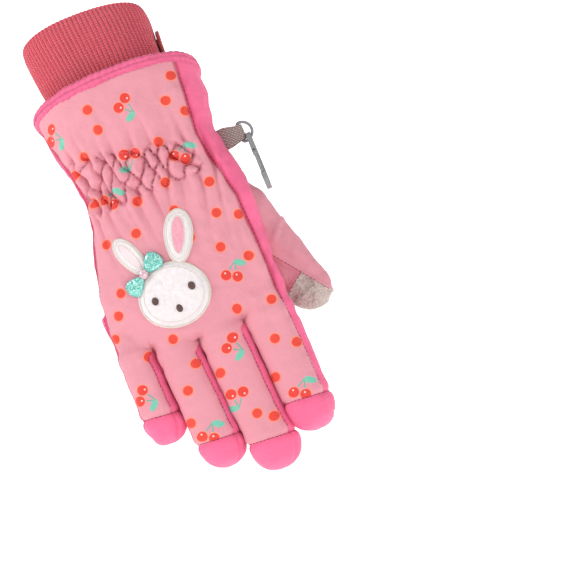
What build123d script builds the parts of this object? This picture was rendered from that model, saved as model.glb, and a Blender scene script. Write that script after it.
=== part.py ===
from build123d import *
import os
from math import cos, radians, sin, sqrt, tan

# A child's padded ski glove for the right hand, hanging with its fingers down.
# Millimetres. The origin is the centre of the knitted cuff's mouth, +Z points up along the
# forearm, +X to the thumb's side and +Y to the palm's side, so the back of the hand faces -Y.
# The glove is three layers sewn as one wall: a fabric skin, a wadding and a brushed lining.
# Each finger is a tube that hinges on the hand just below the crotches.

# ---------------------------------------------------------------- driving dimensions
SKIN = 0.8  # outer fabric
WADDING = 2.2  # insulation
LINING = 0.8  # brushed liner
DEPTHS = (0.0, SKIN, SKIN + WADDING, SKIN + WADDING + LINING)  # each layer's outer and inner face

HAND_Y = -10.0  # middle plane of the hand
CUFF_LEAN = 11.0  # the cuff leans this far towards the palm, in degrees
MOUTH_Z = -30.0  # open end of the gauntlet
ABOVE_MOUTH = 8.0  # the inner forms run this far past the mouth, so they cut it open
WRIST_Z = -76.0  # wrist hinge, just below the elastic
HAND_END_Z = -144.0  # where the hand's bag ends between the fingers
ROOTS_Z = -134.0  # the wadding round the fingers' roots is a piece of its own below this height
GAP = 0.6  # slit between two hinged bodies

# Hand cross-sections: z, middle x, width, middle y, thickness, lean in degrees
HAND_STATIONS = (
    (MOUTH_Z, 0.0, 78.0, -5.8, 56.0, CUFF_LEAN),
    (-48.0, -0.5, 75.0, -8.6, 49.0, 7.0),
    (-68.0, 0.5, 70.0, -9.8, 38.0, 3.0),
    (-90.0, 0.0, 74.0, HAND_Y, 33.0, 0.0),
    (-114.0, -3.5, 82.0, HAND_Y, 29.5, 0.0),
    (-137.0, -4.0, 84.0, HAND_Y, 25.0, 0.0),
    (HAND_END_Z, -4.0, 83.0, HAND_Y, 20.0, 0.0),
)

# Fingers: middle x and z at the crotch, slant, width at the crotch and at the tip, thickness, length, cap
FINGERS = {
    "index": (25.6, -146.0, 3.0, 23.4, 21.2, 19.5, 57.0, 17.5),
    "middle": (1.9, -147.0, 4.0, 21.0, 20.8, 19.5, 66.0, 16.0),
    "ring_finger": (-19.5, -146.5, 3.0, 19.4, 20.2, 19.0, 57.0, 14.0),
    "little": (-37.9, -141.0, 0.5, 15.6, 16.8, 17.0, 43.0, 14.0),
}
HINGE_BELOW_CROTCH = 8.0
HINGE_PALMWARD = 4.0  # finger hinges lie this far to the palm's side of the finger's middle
FINGER_FLEX = 60.0  # degrees
FINGER_ROOT = 16.0  # the tube runs this far up inside the hand

THUMB_BASE = Vector(24.0, -3.0, -80.0)
THUMB_TIP = Vector(49.0, 8.0, -155.0)
THUMB_WIDTHS = (21.5, 19.5)
THUMB_THICKNESS = 19.0
THUMB_HINGE = 28.0  # from the thumb's base
THUMB_FLEX = 40.0
THUMB_CLEAR = 0.6  # between the hinged thumb and the hand's side
GRIP_LENGTH = 22.0

WRIST_FLEX = (20.0, 30.0)  # degrees back and degrees towards the palm

# Knitted cuff: z, width, thickness of its outer face
KNIT_STATIONS = ((-58.0, 54.0, 27.0), (-40.0, 53.0, 35.0), (-20.0, 55.0, 38.0), (0.0, 58.5, 40.0))
KNIT_OUTER = 1.8
KNIT_INNER = 1.2
BINDING_OUT = 1.5  # beyond the gauntlet's outer face
BINDING_IN = 3.7
BINDING_HEIGHT = 5.4
BINDING_ROUND = 2.3
TAB = 1.0
TAB_X = 23.0
TAB_Z = -21.5
TAB_WIDTH = 12.0
TAB_LENGTH = 37.0
TAB_CLEAR = 0.4  # between the tab and the knit

# Clip on its webbing loop
TAPE_X = 36.6  # where the tape leaves the side panel
TAPE_Z = -66.0
TAPE_THICKNESS = 0.7
TAPE_WIDTHS = (9.8, 6.4)
TAPE_LENGTH = 9.6
TAPE_OPEN = 2.2  # clear height inside the fold
RING_WIRE = 1.4
RING_BOW = 4.6  # radius to the middle of the wire
RING_CORNER = 1.2
HOOK_OUT = 3.3  # the hook hangs this far out from the ring's straight bar
HOOK_THICKNESS = 2.2
HOOK_BAR = 2.2
HOOK_LENGTH = 25.0  # eye's centre to the bow
HOOK_HALF_WIDTH = 4.1
EYE_HOLE = 1.7
EYE_OUTER = 3.0
GATE_THICKNESS = 1.0
GATE_SLOT = 1.2
PIN_RADIUS = 0.5

# Rabbit patch, upright on the back of the hand
RABBIT_X = -9.9
RABBIT_Z = -124.5
PATCH = 1.0  # thickness of each layer of felt
BACK_SLOPE = 5.2  # degrees, of the back of the hand under the patch
BACK_Y = HAND_Y - 14.35  # back of the hand at the middle of the rabbit's face
EYES = ((-0.6, -124.3), (-18.6, -124.8), (-9.1, -131.2))  # x and z of the two eyes and the nose


# ---------------------------------------------------------------- shared helpers
def kept(shape, smallest=3.0):
    """The solids of a shape without slivers, as one compound."""
    solids = [s for s in shape.solids() if s.volume > smallest]
    return Compound(children=solids) if len(solids) > 1 else solids[0]


def save(shape, node):
    export_step(kept(shape, 0.05), f"parts/{node}.step")


def layers(form):
    """Skin, wadding and lining between the nested forms of a hollow shape."""
    nested = [form(depth) for depth in DEPTHS]
    return [nested[k] - nested[k + 1] for k in range(3)]


def lean_plane(x, y, z, degrees):
    """Plane of a cross-section whose normal leans from +Z towards +Y."""
    a = radians(degrees)
    return Plane(origin=(x, y, z), x_dir=(1, 0, 0), z_dir=(0, sin(a), cos(a)))


def bag_section(plane, width, thickness, depth):
    """Rounded cross-section of the hand's bag, set in from the outside by depth."""
    w, t = width - 2 * depth, thickness - 2 * depth
    return plane * RectangleRounded(w, t, 0.47 * t)


def half_space(plane, reach=300.0):
    """Large block below a plane, on the side away from its normal."""
    return plane * Pos(0, 0, -reach / 2) * Box(reach, reach, reach)


def notch(plane, palm_angle, back_angle, reach, width):
    """Room for a hinge: a wedge on each side of the hinge line, which is the plane's own X axis."""
    h_palm = reach * tan(radians(palm_angle / 2 + 1.5))
    h_back = reach * tan(radians(back_angle / 2 + 1.5)) if back_angle else GAP / 2
    wedge = Polyline((0, GAP / 2), (reach, h_palm), (reach, -h_palm), (0, -GAP / 2), close=True)
    other = Polyline((0, GAP / 2), (-reach, h_back), (-reach, -h_back), (0, -GAP / 2), close=True)
    flat = Plane(origin=plane.origin, x_dir=plane.y_dir, z_dir=plane.x_dir)
    room = [extrude(flat * make_face(line), width / 2, both=True) for line in (wedge, other)]
    return room[0] + room[1]


# ---------------------------------------------------------------- hand and gauntlet
def hand_form(depth):
    """The bag of the hand and gauntlet as one closed form, set in by depth."""
    sections = []
    if depth > 0:
        z, x, w, y, t, lean = HAND_STATIONS[0]
        mouth = lean_plane(x, y, z, lean)
        sections.append(bag_section(mouth.offset(ABOVE_MOUTH), w, t, depth))
    for z, x, w, y, t, lean in HAND_STATIONS[:-1]:
        sections.append(bag_section(lean_plane(x, y, z, lean), w, t, depth))
    z, x, w, y, t, lean = HAND_STATIONS[-1]
    sections.append(bag_section(lean_plane(x, y, z + depth, lean), w, t, depth))
    return loft(sections)


def finger_frame(name, along):
    """Plane across a finger at a distance below its crotch; its Y axis points to the palm."""
    x, z, slant = FINGERS[name][:3]
    a = radians(slant)
    origin = Vector(x + along * sin(a), HAND_Y, z - along * cos(a))
    return Plane(origin=origin, x_dir=(cos(a), 0, sin(a)), z_dir=(-sin(a), 0, cos(a)))


def finger_halves(name, along, depth):
    """Half width and half thickness of a finger at a distance below its crotch, set in by depth."""
    w0, w1, thick, length = FINGERS[name][3:7]
    width = w0 + (w1 - w0) * max(0.0, along) / length
    return width / 2 - depth, thick / 2 - depth


def finger_tube(name, start, stop, depth):
    return loft([finger_frame(name, a) * Ellipse(*finger_halves(name, a, depth)) for a in (start, stop)])


def finger_root(name, depth):
    """The part of a finger's tube that stays with the hand."""
    stop = HINGE_BELOW_CROTCH - GAP / 2 + (0.5 if depth else 0.0)
    return finger_tube(name, -FINGER_ROOT, stop, depth)


def finger_form(name, depth):
    """The hinged part of a finger as one closed form with a domed tip."""
    length, radius = FINGERS[name][6], 0.5 * FINGERS[name][4]
    start = HINGE_BELOW_CROTCH + GAP / 2 - (0.5 if depth else 0.0)
    dome = length - radius
    ball = scale(Sphere(1), by=(*finger_halves(name, dome, depth), radius - depth))
    return finger_tube(name, start, dome, depth) + finger_frame(name, dome) * ball


THUMB_WAY = (THUMB_TIP - THUMB_BASE).normalized()
THUMB_LENGTH = (THUMB_TIP - THUMB_BASE).length
THUMB_ACROSS = Vector(-THUMB_WAY.Z, 0, THUMB_WAY.X).normalized()


def thumb_frame(along):
    return Plane(origin=THUMB_BASE + THUMB_WAY * along, x_dir=THUMB_ACROSS, z_dir=-THUMB_WAY)


def thumb_halves(along, depth):
    w0, w1 = THUMB_WIDTHS
    return (w0 + (w1 - w0) * along / THUMB_LENGTH) / 2 - depth, THUMB_THICKNESS / 2 - depth


def thumb_tube(start, stop, depth):
    return loft([thumb_frame(a) * Ellipse(*thumb_halves(a, depth)) for a in (start, stop)])


def thumb_root(depth):
    stop = THUMB_HINGE - GAP / 2 + (0.5 if depth else 0.0)
    return thumb_tube(0.0, stop, depth)


def thumb_form(depth):
    """The hinged part of the thumb as one closed form with a domed tip."""
    radius = 0.5 * THUMB_WIDTHS[1]
    start = THUMB_HINGE + GAP / 2 - (0.5 if depth else 0.0)
    dome = THUMB_LENGTH - radius
    ball = scale(Sphere(1), by=(*thumb_halves(dome, depth), radius - depth))
    return thumb_tube(start, dome, depth) + thumb_frame(dome) * ball


def whole_form(depth):
    """Hand bag with the roots of its four fingers and thumb."""
    form = hand_form(depth)
    for name in FINGERS:
        form = form + finger_root(name, depth)
    return form + thumb_root(depth)


def hinge_line(frame):
    """A finger's hinge plane: its X axis is the hinge, moved towards the palm."""
    return Plane(origin=frame.origin + frame.y_dir * HINGE_PALMWARD, x_dir=frame.x_dir, z_dir=frame.z_dir)


def side_block(outline, thickness=120.0):
    """Upright prism over an outline drawn in x and z, through the whole glove."""
    flat = Plane(origin=(0, 0, 0), x_dir=(1, 0, 0), z_dir=(0, -1, 0))
    return extrude(flat * make_face(Polyline(*outline, close=True)), thickness, both=True)


WRIST_PLANE = lean_plane(0, -9.9, WRIST_Z, 0)


def split_hand():
    """Cuts each layer of the hand into gauntlet and hand at the wrist, with room for both hinges."""
    below = half_space(WRIST_PLANE)
    rooms = notch(WRIST_PLANE, WRIST_FLEX[1], WRIST_FLEX[0], 40.0, 120.0)
    for name in FINGERS:
        plane = hinge_line(finger_frame(name, HINGE_BELOW_CROTCH))
        rooms = rooms + notch(plane, FINGER_FLEX, 0.0, 14.0, FINGERS[name][3] + 0.8)
    thumb_plane = hinge_line(thumb_frame(THUMB_HINGE))
    rooms = rooms + notch(thumb_plane, THUMB_FLEX, 0.0, 14.0, 24.0)
    z, x, w, y, t, lean = HAND_STATIONS[0]
    below_mouth = half_space(lean_plane(x, y, z, lean))
    made = {}
    for layer, shape in zip(("skin", "wadding", "lining"), layers(whole_form)):
        cut = (shape & below_mouth) - rooms
        made["gauntlet", layer] = cut - below
        made["hand", layer] = cut & below
    return made


# Seams between the printed back and the two side panels, as x and z
THUMB_SEAM = (
    (29.7, -20),
    (29.0, -50),
    (26.3, -67),
    (31.0, -76),
    (34.0, -92),
    (34.4, -136),
    (35.5, -170),
)
LITTLE_SEAM = (
    (-36.0, -20),
    (-35.0, -50),
    (-31.5, -67),
    (-32.5, -76),
    (-37.0, -92),
    (-43.0, -120),
    (-43.6, -170),
)
WEBS = ((13.2, -146.5), (-9.3, -146.5), (-29.8, -144.0))  # middle x and z of the slits between the fingers
WEB_HALF = 3.4


def skin_panels(skin):
    """Back, palm and two side panels of one body's skin."""
    thumb_side = side_block([*THUMB_SEAM, (90, -170), (90, -20)])
    little_side = side_block([*LITTLE_SEAM, (-90, -170), (-90, -20)])
    front = Pos(0, HAND_Y + 2.0 + 60.0, -100) * Box(200, 120, 260)
    thumb_panel = skin & thumb_side
    little_panel = skin & little_side
    middle = skin - thumb_side - little_side
    return middle - front, middle & front, thumb_panel, little_panel


def gauntlet_parts(made):
    back, palm, thumb_panel, little_panel = skin_panels(made["gauntlet", "skin"])
    save(back, "gauntlet_back")
    save(palm, "gauntlet_palm")
    save(thumb_panel, "gauntlet_side_panel")
    save(little_panel, "gauntlet_edge_panel")
    bands = elastic_bands()
    save(bands, "wrist_elastic")
    save(made["gauntlet", "wadding"] - bands, "gauntlet_wadding")
    save(made["gauntlet", "lining"], "gauntlet_lining")


def elastic_bands():
    """Three flat elastics in the back of the wadding, which gather the wrist."""
    sleeve = hand_form(SKIN) - hand_form(SKIN + 0.7)
    bands = None
    for z in (-59.0, -65.0, -71.0):
        slab = Pos(0, HAND_Y - 30.0, z) * Box(56, 50, 3.0)
        band = sleeve & slab
        bands = band if bands is None else bands + band
    return bands


def hand_parts(made):
    back, palm, thumb_panel, little_panel = skin_panels(made["hand", "skin"])
    webs = None
    for x, z in WEBS:
        block = Pos(x, HAND_Y, z - 9.0) * Box(2 * WEB_HALF, 60, 24)
        webs = block if webs is None else webs + block
    grip = Pos(-2, HAND_Y + 40, -116) * Box(46, 60, 40)
    save((back & webs) + (palm & webs), "fourchette_webs")
    back, palm = back - webs, palm - webs
    save(back, "hand_back")
    save(palm - grip, "hand_palm")
    save(palm & grip, "palm_grip")
    save(thumb_panel, "hand_side_panel")
    save(little_panel, "hand_edge_panel")
    roots = half_space(Plane((0, 0, ROOTS_Z)))
    save(made["hand", "wadding"] - roots, "hand_wadding")
    save(made["hand", "wadding"] & roots, "finger_root_wadding")
    save(made["hand", "lining"], "hand_lining")


# ---------------------------------------------------------------- fingers and thumb
def finger_parts(name):
    skin, wadding, lining = layers(lambda depth: finger_form(name, depth))
    plane = hinge_line(finger_frame(name, HINGE_BELOW_CROTCH))
    room = notch(plane, FINGER_FLEX, 0.0, 14.0, 40.0)
    skin, wadding, lining = skin - room, wadding - room, lining - room
    width, length, cap = FINGERS[name][3], FINGERS[name][6], FINGERS[name][7]
    middle = finger_frame(name, length / 2)
    palm_block = middle * Pos(0, 3.0 + 20.0, 0) * Box(60, 40, 2 * length)
    cap_block = half_space(finger_frame(name, length - cap))
    wall = 0.36 * width
    walls = [middle * Pos(sign * (wall + 20.0), 0, 0) * Box(40, 60, 2 * length) for sign in (-1, 1)]
    upper = skin - palm_block
    above_cap = upper - cap_block
    save(skin & palm_block, f"{name}_palm")
    save(upper & cap_block, f"{name}_cap")
    save((above_cap & walls[0]) + (above_cap & walls[1]), f"{name}_fourchettes")
    save(above_cap - walls[0] - walls[1], f"{name}_back")
    save(wadding, f"{name}_wadding")
    save(lining, f"{name}_lining")


def thumb_parts():
    skin, wadding, lining = layers(thumb_form)
    room = notch(hinge_line(thumb_frame(THUMB_HINGE)), THUMB_FLEX, 0.0, 14.0, 40.0)
    hand = hand_form(-THUMB_CLEAR)
    skin, wadding, lining = [layer - room - hand for layer in (skin, wadding, lining)]
    middle = thumb_frame(THUMB_LENGTH / 2)
    inner_block = middle * Pos(-1.5 - 20.0, 0, 0) * Box(40, 80, 2 * THUMB_LENGTH)
    tip_block = half_space(thumb_frame(THUMB_LENGTH - GRIP_LENGTH))
    inner = skin & inner_block
    save(skin - inner_block, "thumb_outer_panel")
    save(inner - tip_block, "thumb_inner_panel")
    save(inner & tip_block, "thumb_grip")
    save(wadding, "thumb_wadding")
    save(lining, "thumb_lining")


# ---------------------------------------------------------------- cuff
def knit_plane(z):
    """Cross-section plane of the knitted cuff, which leans with the gauntlet."""
    return lean_plane(0, 0.165 * z, z, CUFF_LEAN)


def knit_form(inset):
    """Oval tube form of the knitted cuff, set in by inset and longer than the cuff at both ends."""
    (low, w0, t0), (high, w1, t1) = KNIT_STATIONS[0], KNIT_STATIONS[-1]
    stations = [(low - 6.0, w0, t0), *KNIT_STATIONS, (high + 6.0, w1, t1)]
    return loft([bag_section(knit_plane(z), w, t, inset) for z, w, t in stations])


def cuff_parts():
    length = half_space(knit_plane(0)) - half_space(knit_plane(KNIT_STATIONS[0][0]))
    forms = [knit_form(inset) for inset in (0.0, KNIT_OUTER, KNIT_OUTER + KNIT_INNER)]
    slab = Pos(0, HAND_Y, -56.5) * Box(90, 90, 2.4)
    seam = (hand_form(DEPTHS[3]) & slab) - forms[0]
    save(((forms[0] - forms[1]) & length) + seam, "knit_cuff")
    save((forms[1] - forms[2]) & length, "cuff_inner_layer")


def cuff_binding():
    """Rolled binding that closes the gauntlet's mouth."""
    z, x, w, y, t, lean = HAND_STATIONS[0]
    outline = RectangleRounded(w + 2 * BINDING_OUT, t + 2 * BINDING_OUT, 0.47 * t + BINDING_OUT)
    hole = RectangleRounded(w - 2 * BINDING_IN, t - 2 * BINDING_IN, 0.47 * t - BINDING_IN)
    ring = extrude(lean_plane(x, y, z, lean) * (outline - hole), BINDING_HEIGHT)
    rims = [edge for edge in ring.edges() if abs(edge.tangent_at(0.5).Z) < 0.5]
    save(fillet(rims, BINDING_ROUND), "cuff_binding")


def pull_tab():
    """Tab lying against the knit at its palm and thumb corner, for pulling the glove on."""
    flat = Plane(origin=(TAB_X, 0, TAB_Z), x_dir=(1, 0, 0), z_dir=(0, 1, 0))
    window = extrude(flat * RectangleRounded(TAB_WIDTH, TAB_LENGTH, 4), 60)
    sleeve = knit_form(-TAB_CLEAR - TAB) - knit_form(-TAB_CLEAR)
    save(sleeve & window, "pull_tab")


# ---------------------------------------------------------------- rabbit patch
def back_plane(z, lift):
    """Plane that lies on the back of the hand at a height z, with its Y axis up, lifted outwards."""
    a = radians(BACK_SLOPE)
    y = BACK_Y - (z - RABBIT_Z) * tan(a)
    normal = Vector(0, -cos(a), -sin(a))
    return Plane(origin=Vector(0, y, z) + normal * lift, x_dir=(1, 0, 0), z_dir=normal)


def patch_at(shape, x, z, lift, turn=0.0):
    plane = back_plane(RABBIT_Z, lift)
    return extrude(plane * Pos(x, z - RABBIT_Z) * Rot(0, 0, turn) * shape, PATCH)


def rabbit_parts():
    ears = (
        (1.6, -102.0, 6.4, 11.6, -12.0),
        (-22.0, -102.2, 5.0, 11.0, 26.0),
    )
    face = patch_at(Ellipse(16.4, 14.4), RABBIT_X, RABBIT_Z, 0.0)
    outer = None
    inner = None
    for x, z, half, tall, turn in ears:
        ear = patch_at(Ellipse(half, tall), x, z, 0.0, turn) - face
        pad = patch_at(Ellipse(0.38 * half, 0.66 * tall), x, z, PATCH + 0.02, turn)
        outer = ear if outer is None else outer + ear
        inner = pad if inner is None else inner + pad
    save(face, "rabbit_face")
    save(outer, "rabbit_ears")
    top = PATCH + 0.02
    knot = patch_at(Circle(2.3), -18.3, -110.5, top)
    save(inner - knot, "rabbit_inner_ears")
    save(knot, "bow_knot")
    bow = None
    for x, z, turn in ((-12.6, -107.6, 31.0), (-23.2, -114.4, 31.0)):
        loop = patch_at(RectangleRounded(8.4, 7.0, 2.2), x, z, top, turn) - knot
        bow = loop if bow is None else bow + loop
    save(bow - inner, "bow_loops")
    eyes = [patch_at(Ellipse(1.6, 1.8), x, z, top) for x, z in EYES]
    save(eyes[0] + eyes[1] + eyes[2], "rabbit_eyes_and_nose")


# ---------------------------------------------------------------- clip
def webbing_loop():
    """Folded tape sewn into the side seam, open at its fold for the ring."""
    t, h = TAPE_THICKNESS, TAPE_OPEN / 2 + TAPE_THICKNESS
    fold = TAPE_LENGTH - h + 0.4
    outer = Polyline((0, t + 0.1), (fold, h), (fold, -h), (0, -t - 0.1), close=True)
    inner = Polyline((1.0, 0.1), (fold, h - t), (fold, t - h), (1.0, -0.1), close=True)
    side = make_face(outer) + Pos(fold, 0) * Circle(h)
    hollow = make_face(inner) + Pos(fold, 0) * Circle(h - t)
    profile = side - hollow
    body = extrude(Plane((TAPE_X, HAND_Y, TAPE_Z)) * profile, TAPE_WIDTHS[0] / 2, both=True)
    w0, w1 = TAPE_WIDTHS
    reach = TAPE_LENGTH + 4
    taper = Polyline((-2, -w0 / 2), (-2, w0 / 2), (reach, w1 / 2), (reach, -w1 / 2), close=True)
    flat = Plane(origin=(TAPE_X, HAND_Y, TAPE_Z), x_dir=(1, 0, 0), z_dir=(0, -1, 0))
    return body & extrude(flat * make_face(taper), 20, both=True)


RING_BAR = Vector(TAPE_X + TAPE_LENGTH - 1.7, HAND_Y, TAPE_Z)
RING_PLANE = Plane(origin=RING_BAR, x_dir=(1, 0, 0), z_dir=(0, -1, 0))
HOOK_DROP = sqrt(RING_BOW**2 - (HOOK_OUT - RING_CORNER) ** 2)
EYE_CENTRE = RING_BAR + Vector(HOOK_OUT, 0, -HOOK_DROP)


def clip_ring():
    """D-shaped wire ring with its straight bar in the webbing's fold."""
    flat, out = RING_BOW - RING_CORNER, RING_CORNER
    bar = Line((0, -flat), (0, flat))
    upper = TangentArc((0, flat), (out, RING_BOW), tangent=(0, 1))
    bow = ThreePointArc((out, RING_BOW), (out + RING_BOW, 0), (out, -RING_BOW))
    lower = TangentArc((out, -RING_BOW), (0, -flat), tangent=(-1, 0))
    path = RING_PLANE * (bar + upper + bow + lower)
    return sweep(Plane(origin=RING_BAR, z_dir=(0, 0, 1)) * Circle(RING_WIRE / 2), path=path)


# The hook is drawn in Y and Z from its eye's centre and lies flat across the ring's wire
HOOK_PLANE = Plane(origin=EYE_CENTRE, x_dir=(0, 1, 0), z_dir=(1, 0, 0))
HOOK_BOW_Z = -(HOOK_LENGTH - HOOK_HALF_WIDTH - HOOK_BAR / 2)
SHOULDER_Z = -7.5
NOSE_Z = HOOK_BOW_Z + 2.4
GATE_PIN = (-HOOK_HALF_WIDTH, SHOULDER_Z)


def clip_hook():
    """Open hook below a round eye, forked at the shoulder to hold the gate."""
    w = HOOK_HALF_WIDTH
    spine = Line((w, SHOULDER_Z), (w, HOOK_BOW_Z))
    bow = ThreePointArc((w, HOOK_BOW_Z), (0, HOOK_BOW_Z - w), (-w, HOOK_BOW_Z))
    nose = Line((-w, HOOK_BOW_Z), (-w, NOSE_Z))
    bar = trace(spine + bow + nose, HOOK_BAR)
    eye = Circle(EYE_OUTER)
    shoulder = make_hull([*eye.edges(), *(Pos(w, SHOULDER_Z) * Circle(HOOK_BAR / 2)).edges()])
    lug = make_hull([*eye.edges(), *(Pos(*GATE_PIN) * Circle(1.3)).edges()])
    outline = bar + shoulder + lug - Circle(EYE_HOLE) - Pos(*GATE_PIN) * Circle(PIN_RADIUS)
    body = extrude(HOOK_PLANE * outline, HOOK_THICKNESS / 2, both=True)
    return body - HOOK_PLANE * Pos(*GATE_PIN) * Cylinder(1.8, GATE_SLOT)


def clip_gate():
    """Sprung lever from its pin down to just short of the nose."""
    x, top = GATE_PIN
    foot = NOSE_Z + 0.35
    lever = Pos(x, (top + foot) / 2) * Rectangle(1.7, top - foot) + Pos(x, top) * Circle(1.35)
    blade = lever - Pos(x, top) * Circle(PIN_RADIUS + 0.05)
    return extrude(HOOK_PLANE * blade, GATE_THICKNESS / 2, both=True)


def clip_parts():
    save(webbing_loop(), "webbing_loop")
    save(clip_ring(), "clip_ring")
    save(clip_hook(), "clip_hook")
    save(clip_gate(), "clip_gate")
    save(HOOK_PLANE * Pos(*GATE_PIN) * Cylinder(PIN_RADIUS, HOOK_THICKNESS), "gate_pin")


if __name__ == "__main__":
    os.makedirs("parts", exist_ok=True)
    made = split_hand()
    gauntlet_parts(made)
    hand_parts(made)
    for finger in FINGERS:
        finger_parts(finger)
    thumb_parts()
    cuff_parts()
    cuff_binding()
    pull_tab()
    rabbit_parts()
    clip_parts()
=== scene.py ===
"""A child's pink ski glove, hanging with its fingers down.

Lengths are in millimetres until MM scales them.
"""
from math import cos, pi, radians, sin

import bpy
import numpy as np
from mathutils import Matrix, Vector, noise
from mathutils.bvhtree import BVHTree


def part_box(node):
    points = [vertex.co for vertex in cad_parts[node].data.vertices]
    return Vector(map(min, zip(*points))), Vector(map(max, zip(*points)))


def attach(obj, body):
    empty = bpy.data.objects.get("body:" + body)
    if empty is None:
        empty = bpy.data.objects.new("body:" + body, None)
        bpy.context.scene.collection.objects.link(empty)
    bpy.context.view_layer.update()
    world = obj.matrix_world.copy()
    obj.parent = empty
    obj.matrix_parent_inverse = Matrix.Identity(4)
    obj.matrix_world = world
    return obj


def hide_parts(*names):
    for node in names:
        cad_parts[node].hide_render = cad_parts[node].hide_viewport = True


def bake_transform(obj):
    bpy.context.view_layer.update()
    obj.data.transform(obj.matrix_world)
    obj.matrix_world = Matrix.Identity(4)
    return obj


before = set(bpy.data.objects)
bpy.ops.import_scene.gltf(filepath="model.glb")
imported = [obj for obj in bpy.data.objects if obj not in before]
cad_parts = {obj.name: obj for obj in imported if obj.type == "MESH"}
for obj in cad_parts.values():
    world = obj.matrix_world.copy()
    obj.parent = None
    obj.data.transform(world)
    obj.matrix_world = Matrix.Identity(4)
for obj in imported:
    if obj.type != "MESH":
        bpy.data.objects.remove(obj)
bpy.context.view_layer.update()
MM = 0.001

# ---------------------------------------------------------------- driving dimensions
VOXEL = 0.8  # grain of the remeshed skin
LEAN = radians(11)  # the cuff and the gauntlet's mouth lean this far towards the palm
HAND_Y = -10.0  # middle plane of the hand and fingers
MOUTH_Y = -5.8  # middle of the gauntlet's mouth
TIP_RADIUS = 10.0  # length of the rounded end of each finger and of the thumb
DROOP = 1.6  # how far a fingertip hangs towards the palm
# z, middle x, half width, middle y, half thickness of the hand's bag
STATIONS = (
    (-26, -2.2, 39.8, -5.0, 27.5),
    (-31, -2.2, 39.4, -5.8, 27.0),
    (-44, -1.2, 37.8, -8.0, 24.0),
    (-57, -0.6, 34.8, -9.0, 20.5),
    (-70, 1.0, 34.6, -9.8, 18.0),
    (-84, 1.5, 37.6, -10.0, 17.0),
    (-96, 0.2, 39.8, -10.0, 16.6),
    (-115, -3.2, 41.5, -10.0, 15.6),
    (-134, -5.2, 41.0, -10.0, 13.4),
    (-146, -6.2, 39.0, -10.0, 10.0),
)
MOUTH_Z = -29.8
CUT_Z = -139.0  # the fingers' pieces begin here, still in the stiff part of the hand

# x and z at the crotch, slant in degrees, half width at the crotch and tip, half thickness, length, cap
FINGERS = {
    "index": (26.2, -146.0, 1.6, 11.0, 10.1, 9.8, 58.2, 14.5),
    "middle": (3.0, -147.0, 3.2, 10.6, 10.6, 9.8, 67.3, 13.5),
    "ring_finger": (-19.0, -146.5, 3.4, 9.7, 9.7, 9.5, 58.3, 12.5),
    "little": (-38.6, -141.0, 1.6, 8.0, 8.9, 8.8, 44.4, 12.5),
}
# slits between little, ring, middle and index finger: x at the crotch and drift for each millimetre below
SLITS = ((-29.7, 0.05), (-8.5, 0.057), (14.4, 0.049))
# height of the crotch on a finger's little-finger side and on its thumb side
WEB_TOP = {
    "index": (-144.5, -130.0),
    "middle": (-146.5, -144.5),
    "ring_finger": (-141.5, -146.5),
    "little": (-120.0, -141.5),
}
# the bottom edge of the hand's bag is raised between the fingers, as x and lift
BAG_LIFT = ((-46, 8.5), (-30, 8.0), (-19, 4.5), (-8.5, 3.4), (3, 3.4), (14.4, 5.2), (28, 3.0), (40, 1.0))
THUMB_BASE = np.array((24.5, -3.0, -78.0))
THUMB_TIP = np.array((50.2, 7.0, -152.5))
# seams of the two side panels, as z and x
THUMB_SEAM = (
    (-20, 30), (-41, 29), (-61, 27), (-76, 29.3), (-93, 33.1), (-112, 34), (-136, 33.6), (-150, 34.8),
    (-165, 35.6), (-192, 36.2),
)
LITTLE_SEAM = (
    (-20, -41.2), (-31, -40.6), (-44, -37.6), (-57, -34.2), (-70, -32.6), (-84, -35.1), (-96, -38.6),
    (-115, -44.3), (-134, -46.2), (-150, -46.2), (-166, -45.8), (-178, -45.2),
)

# colours in linear light
PALE = (0.74, 0.285, 0.345)
HOT = (0.93, 0.145, 0.30)
CORAL = (0.95, 0.135, 0.18)
FOLD_SHADE_TINT = (0.62, 0.26, 0.34)  # painted shade: what a deep fold or seam groove multiplies the cloth's colour by


# ---------------------------------------------------------------- small helpers
def smooth(t):
    t = np.clip(t, 0.0, 1.0)
    return t * t * (3 - 2 * t)


def curve_at(points, z):
    """Value along a list of (z, value) pairs, straight between them."""
    zs = np.array([p[0] for p in points], float)
    vs = np.array([p[1] for p in points], float)
    order = np.argsort(zs)
    return np.interp(z, zs[order], vs[order])


def station(z):
    """Middle x, half width, middle y and half thickness of the hand at a height."""
    return [curve_at([(s[0], s[k]) for s in STATIONS], z) for k in range(1, 5)]


def fractal(points, size, seed=0.0, octaves=3):
    """Smooth random value from -1 to 1 at each point; size is its grain in millimetres."""
    shift = Vector((seed, seed * 1.7, -seed))
    return np.array([noise.fractal(Vector(p) / size + shift, 1.0, 2.0, octaves) for p in points])


def new_object(name, verts, faces, material):
    """Smooth-shaded mesh object from points in millimetres."""
    mesh = bpy.data.meshes.new(name)
    mesh.from_pydata((np.asarray(verts, float) * MM).tolist(), [], [list(f) for f in faces])
    mesh.materials.append(material)
    mesh.polygons.foreach_set("use_smooth", [True] * len(mesh.polygons))
    mesh.update()
    made = bpy.data.objects.new(name, mesh)
    bpy.context.scene.collection.objects.link(made)
    return made


def set_uv(made, uv):
    """UV map in metres from one pair per vertex in millimetres."""
    layer = made.data.uv_layers.new(name="cloth")
    index = np.empty(len(made.data.loops), int)
    made.data.loops.foreach_get("vertex_index", index)
    layer.data.foreach_set("uv", (np.asarray(uv)[index] * MM).astype(np.float32).ravel())


def apply_modifiers(made):
    """Replaces an object's mesh by its evaluated one."""
    graph = bpy.context.evaluated_depsgraph_get()
    mesh = bpy.data.meshes.new_from_object(made.evaluated_get(graph))
    made.modifiers.clear()
    made.data = mesh


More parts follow.
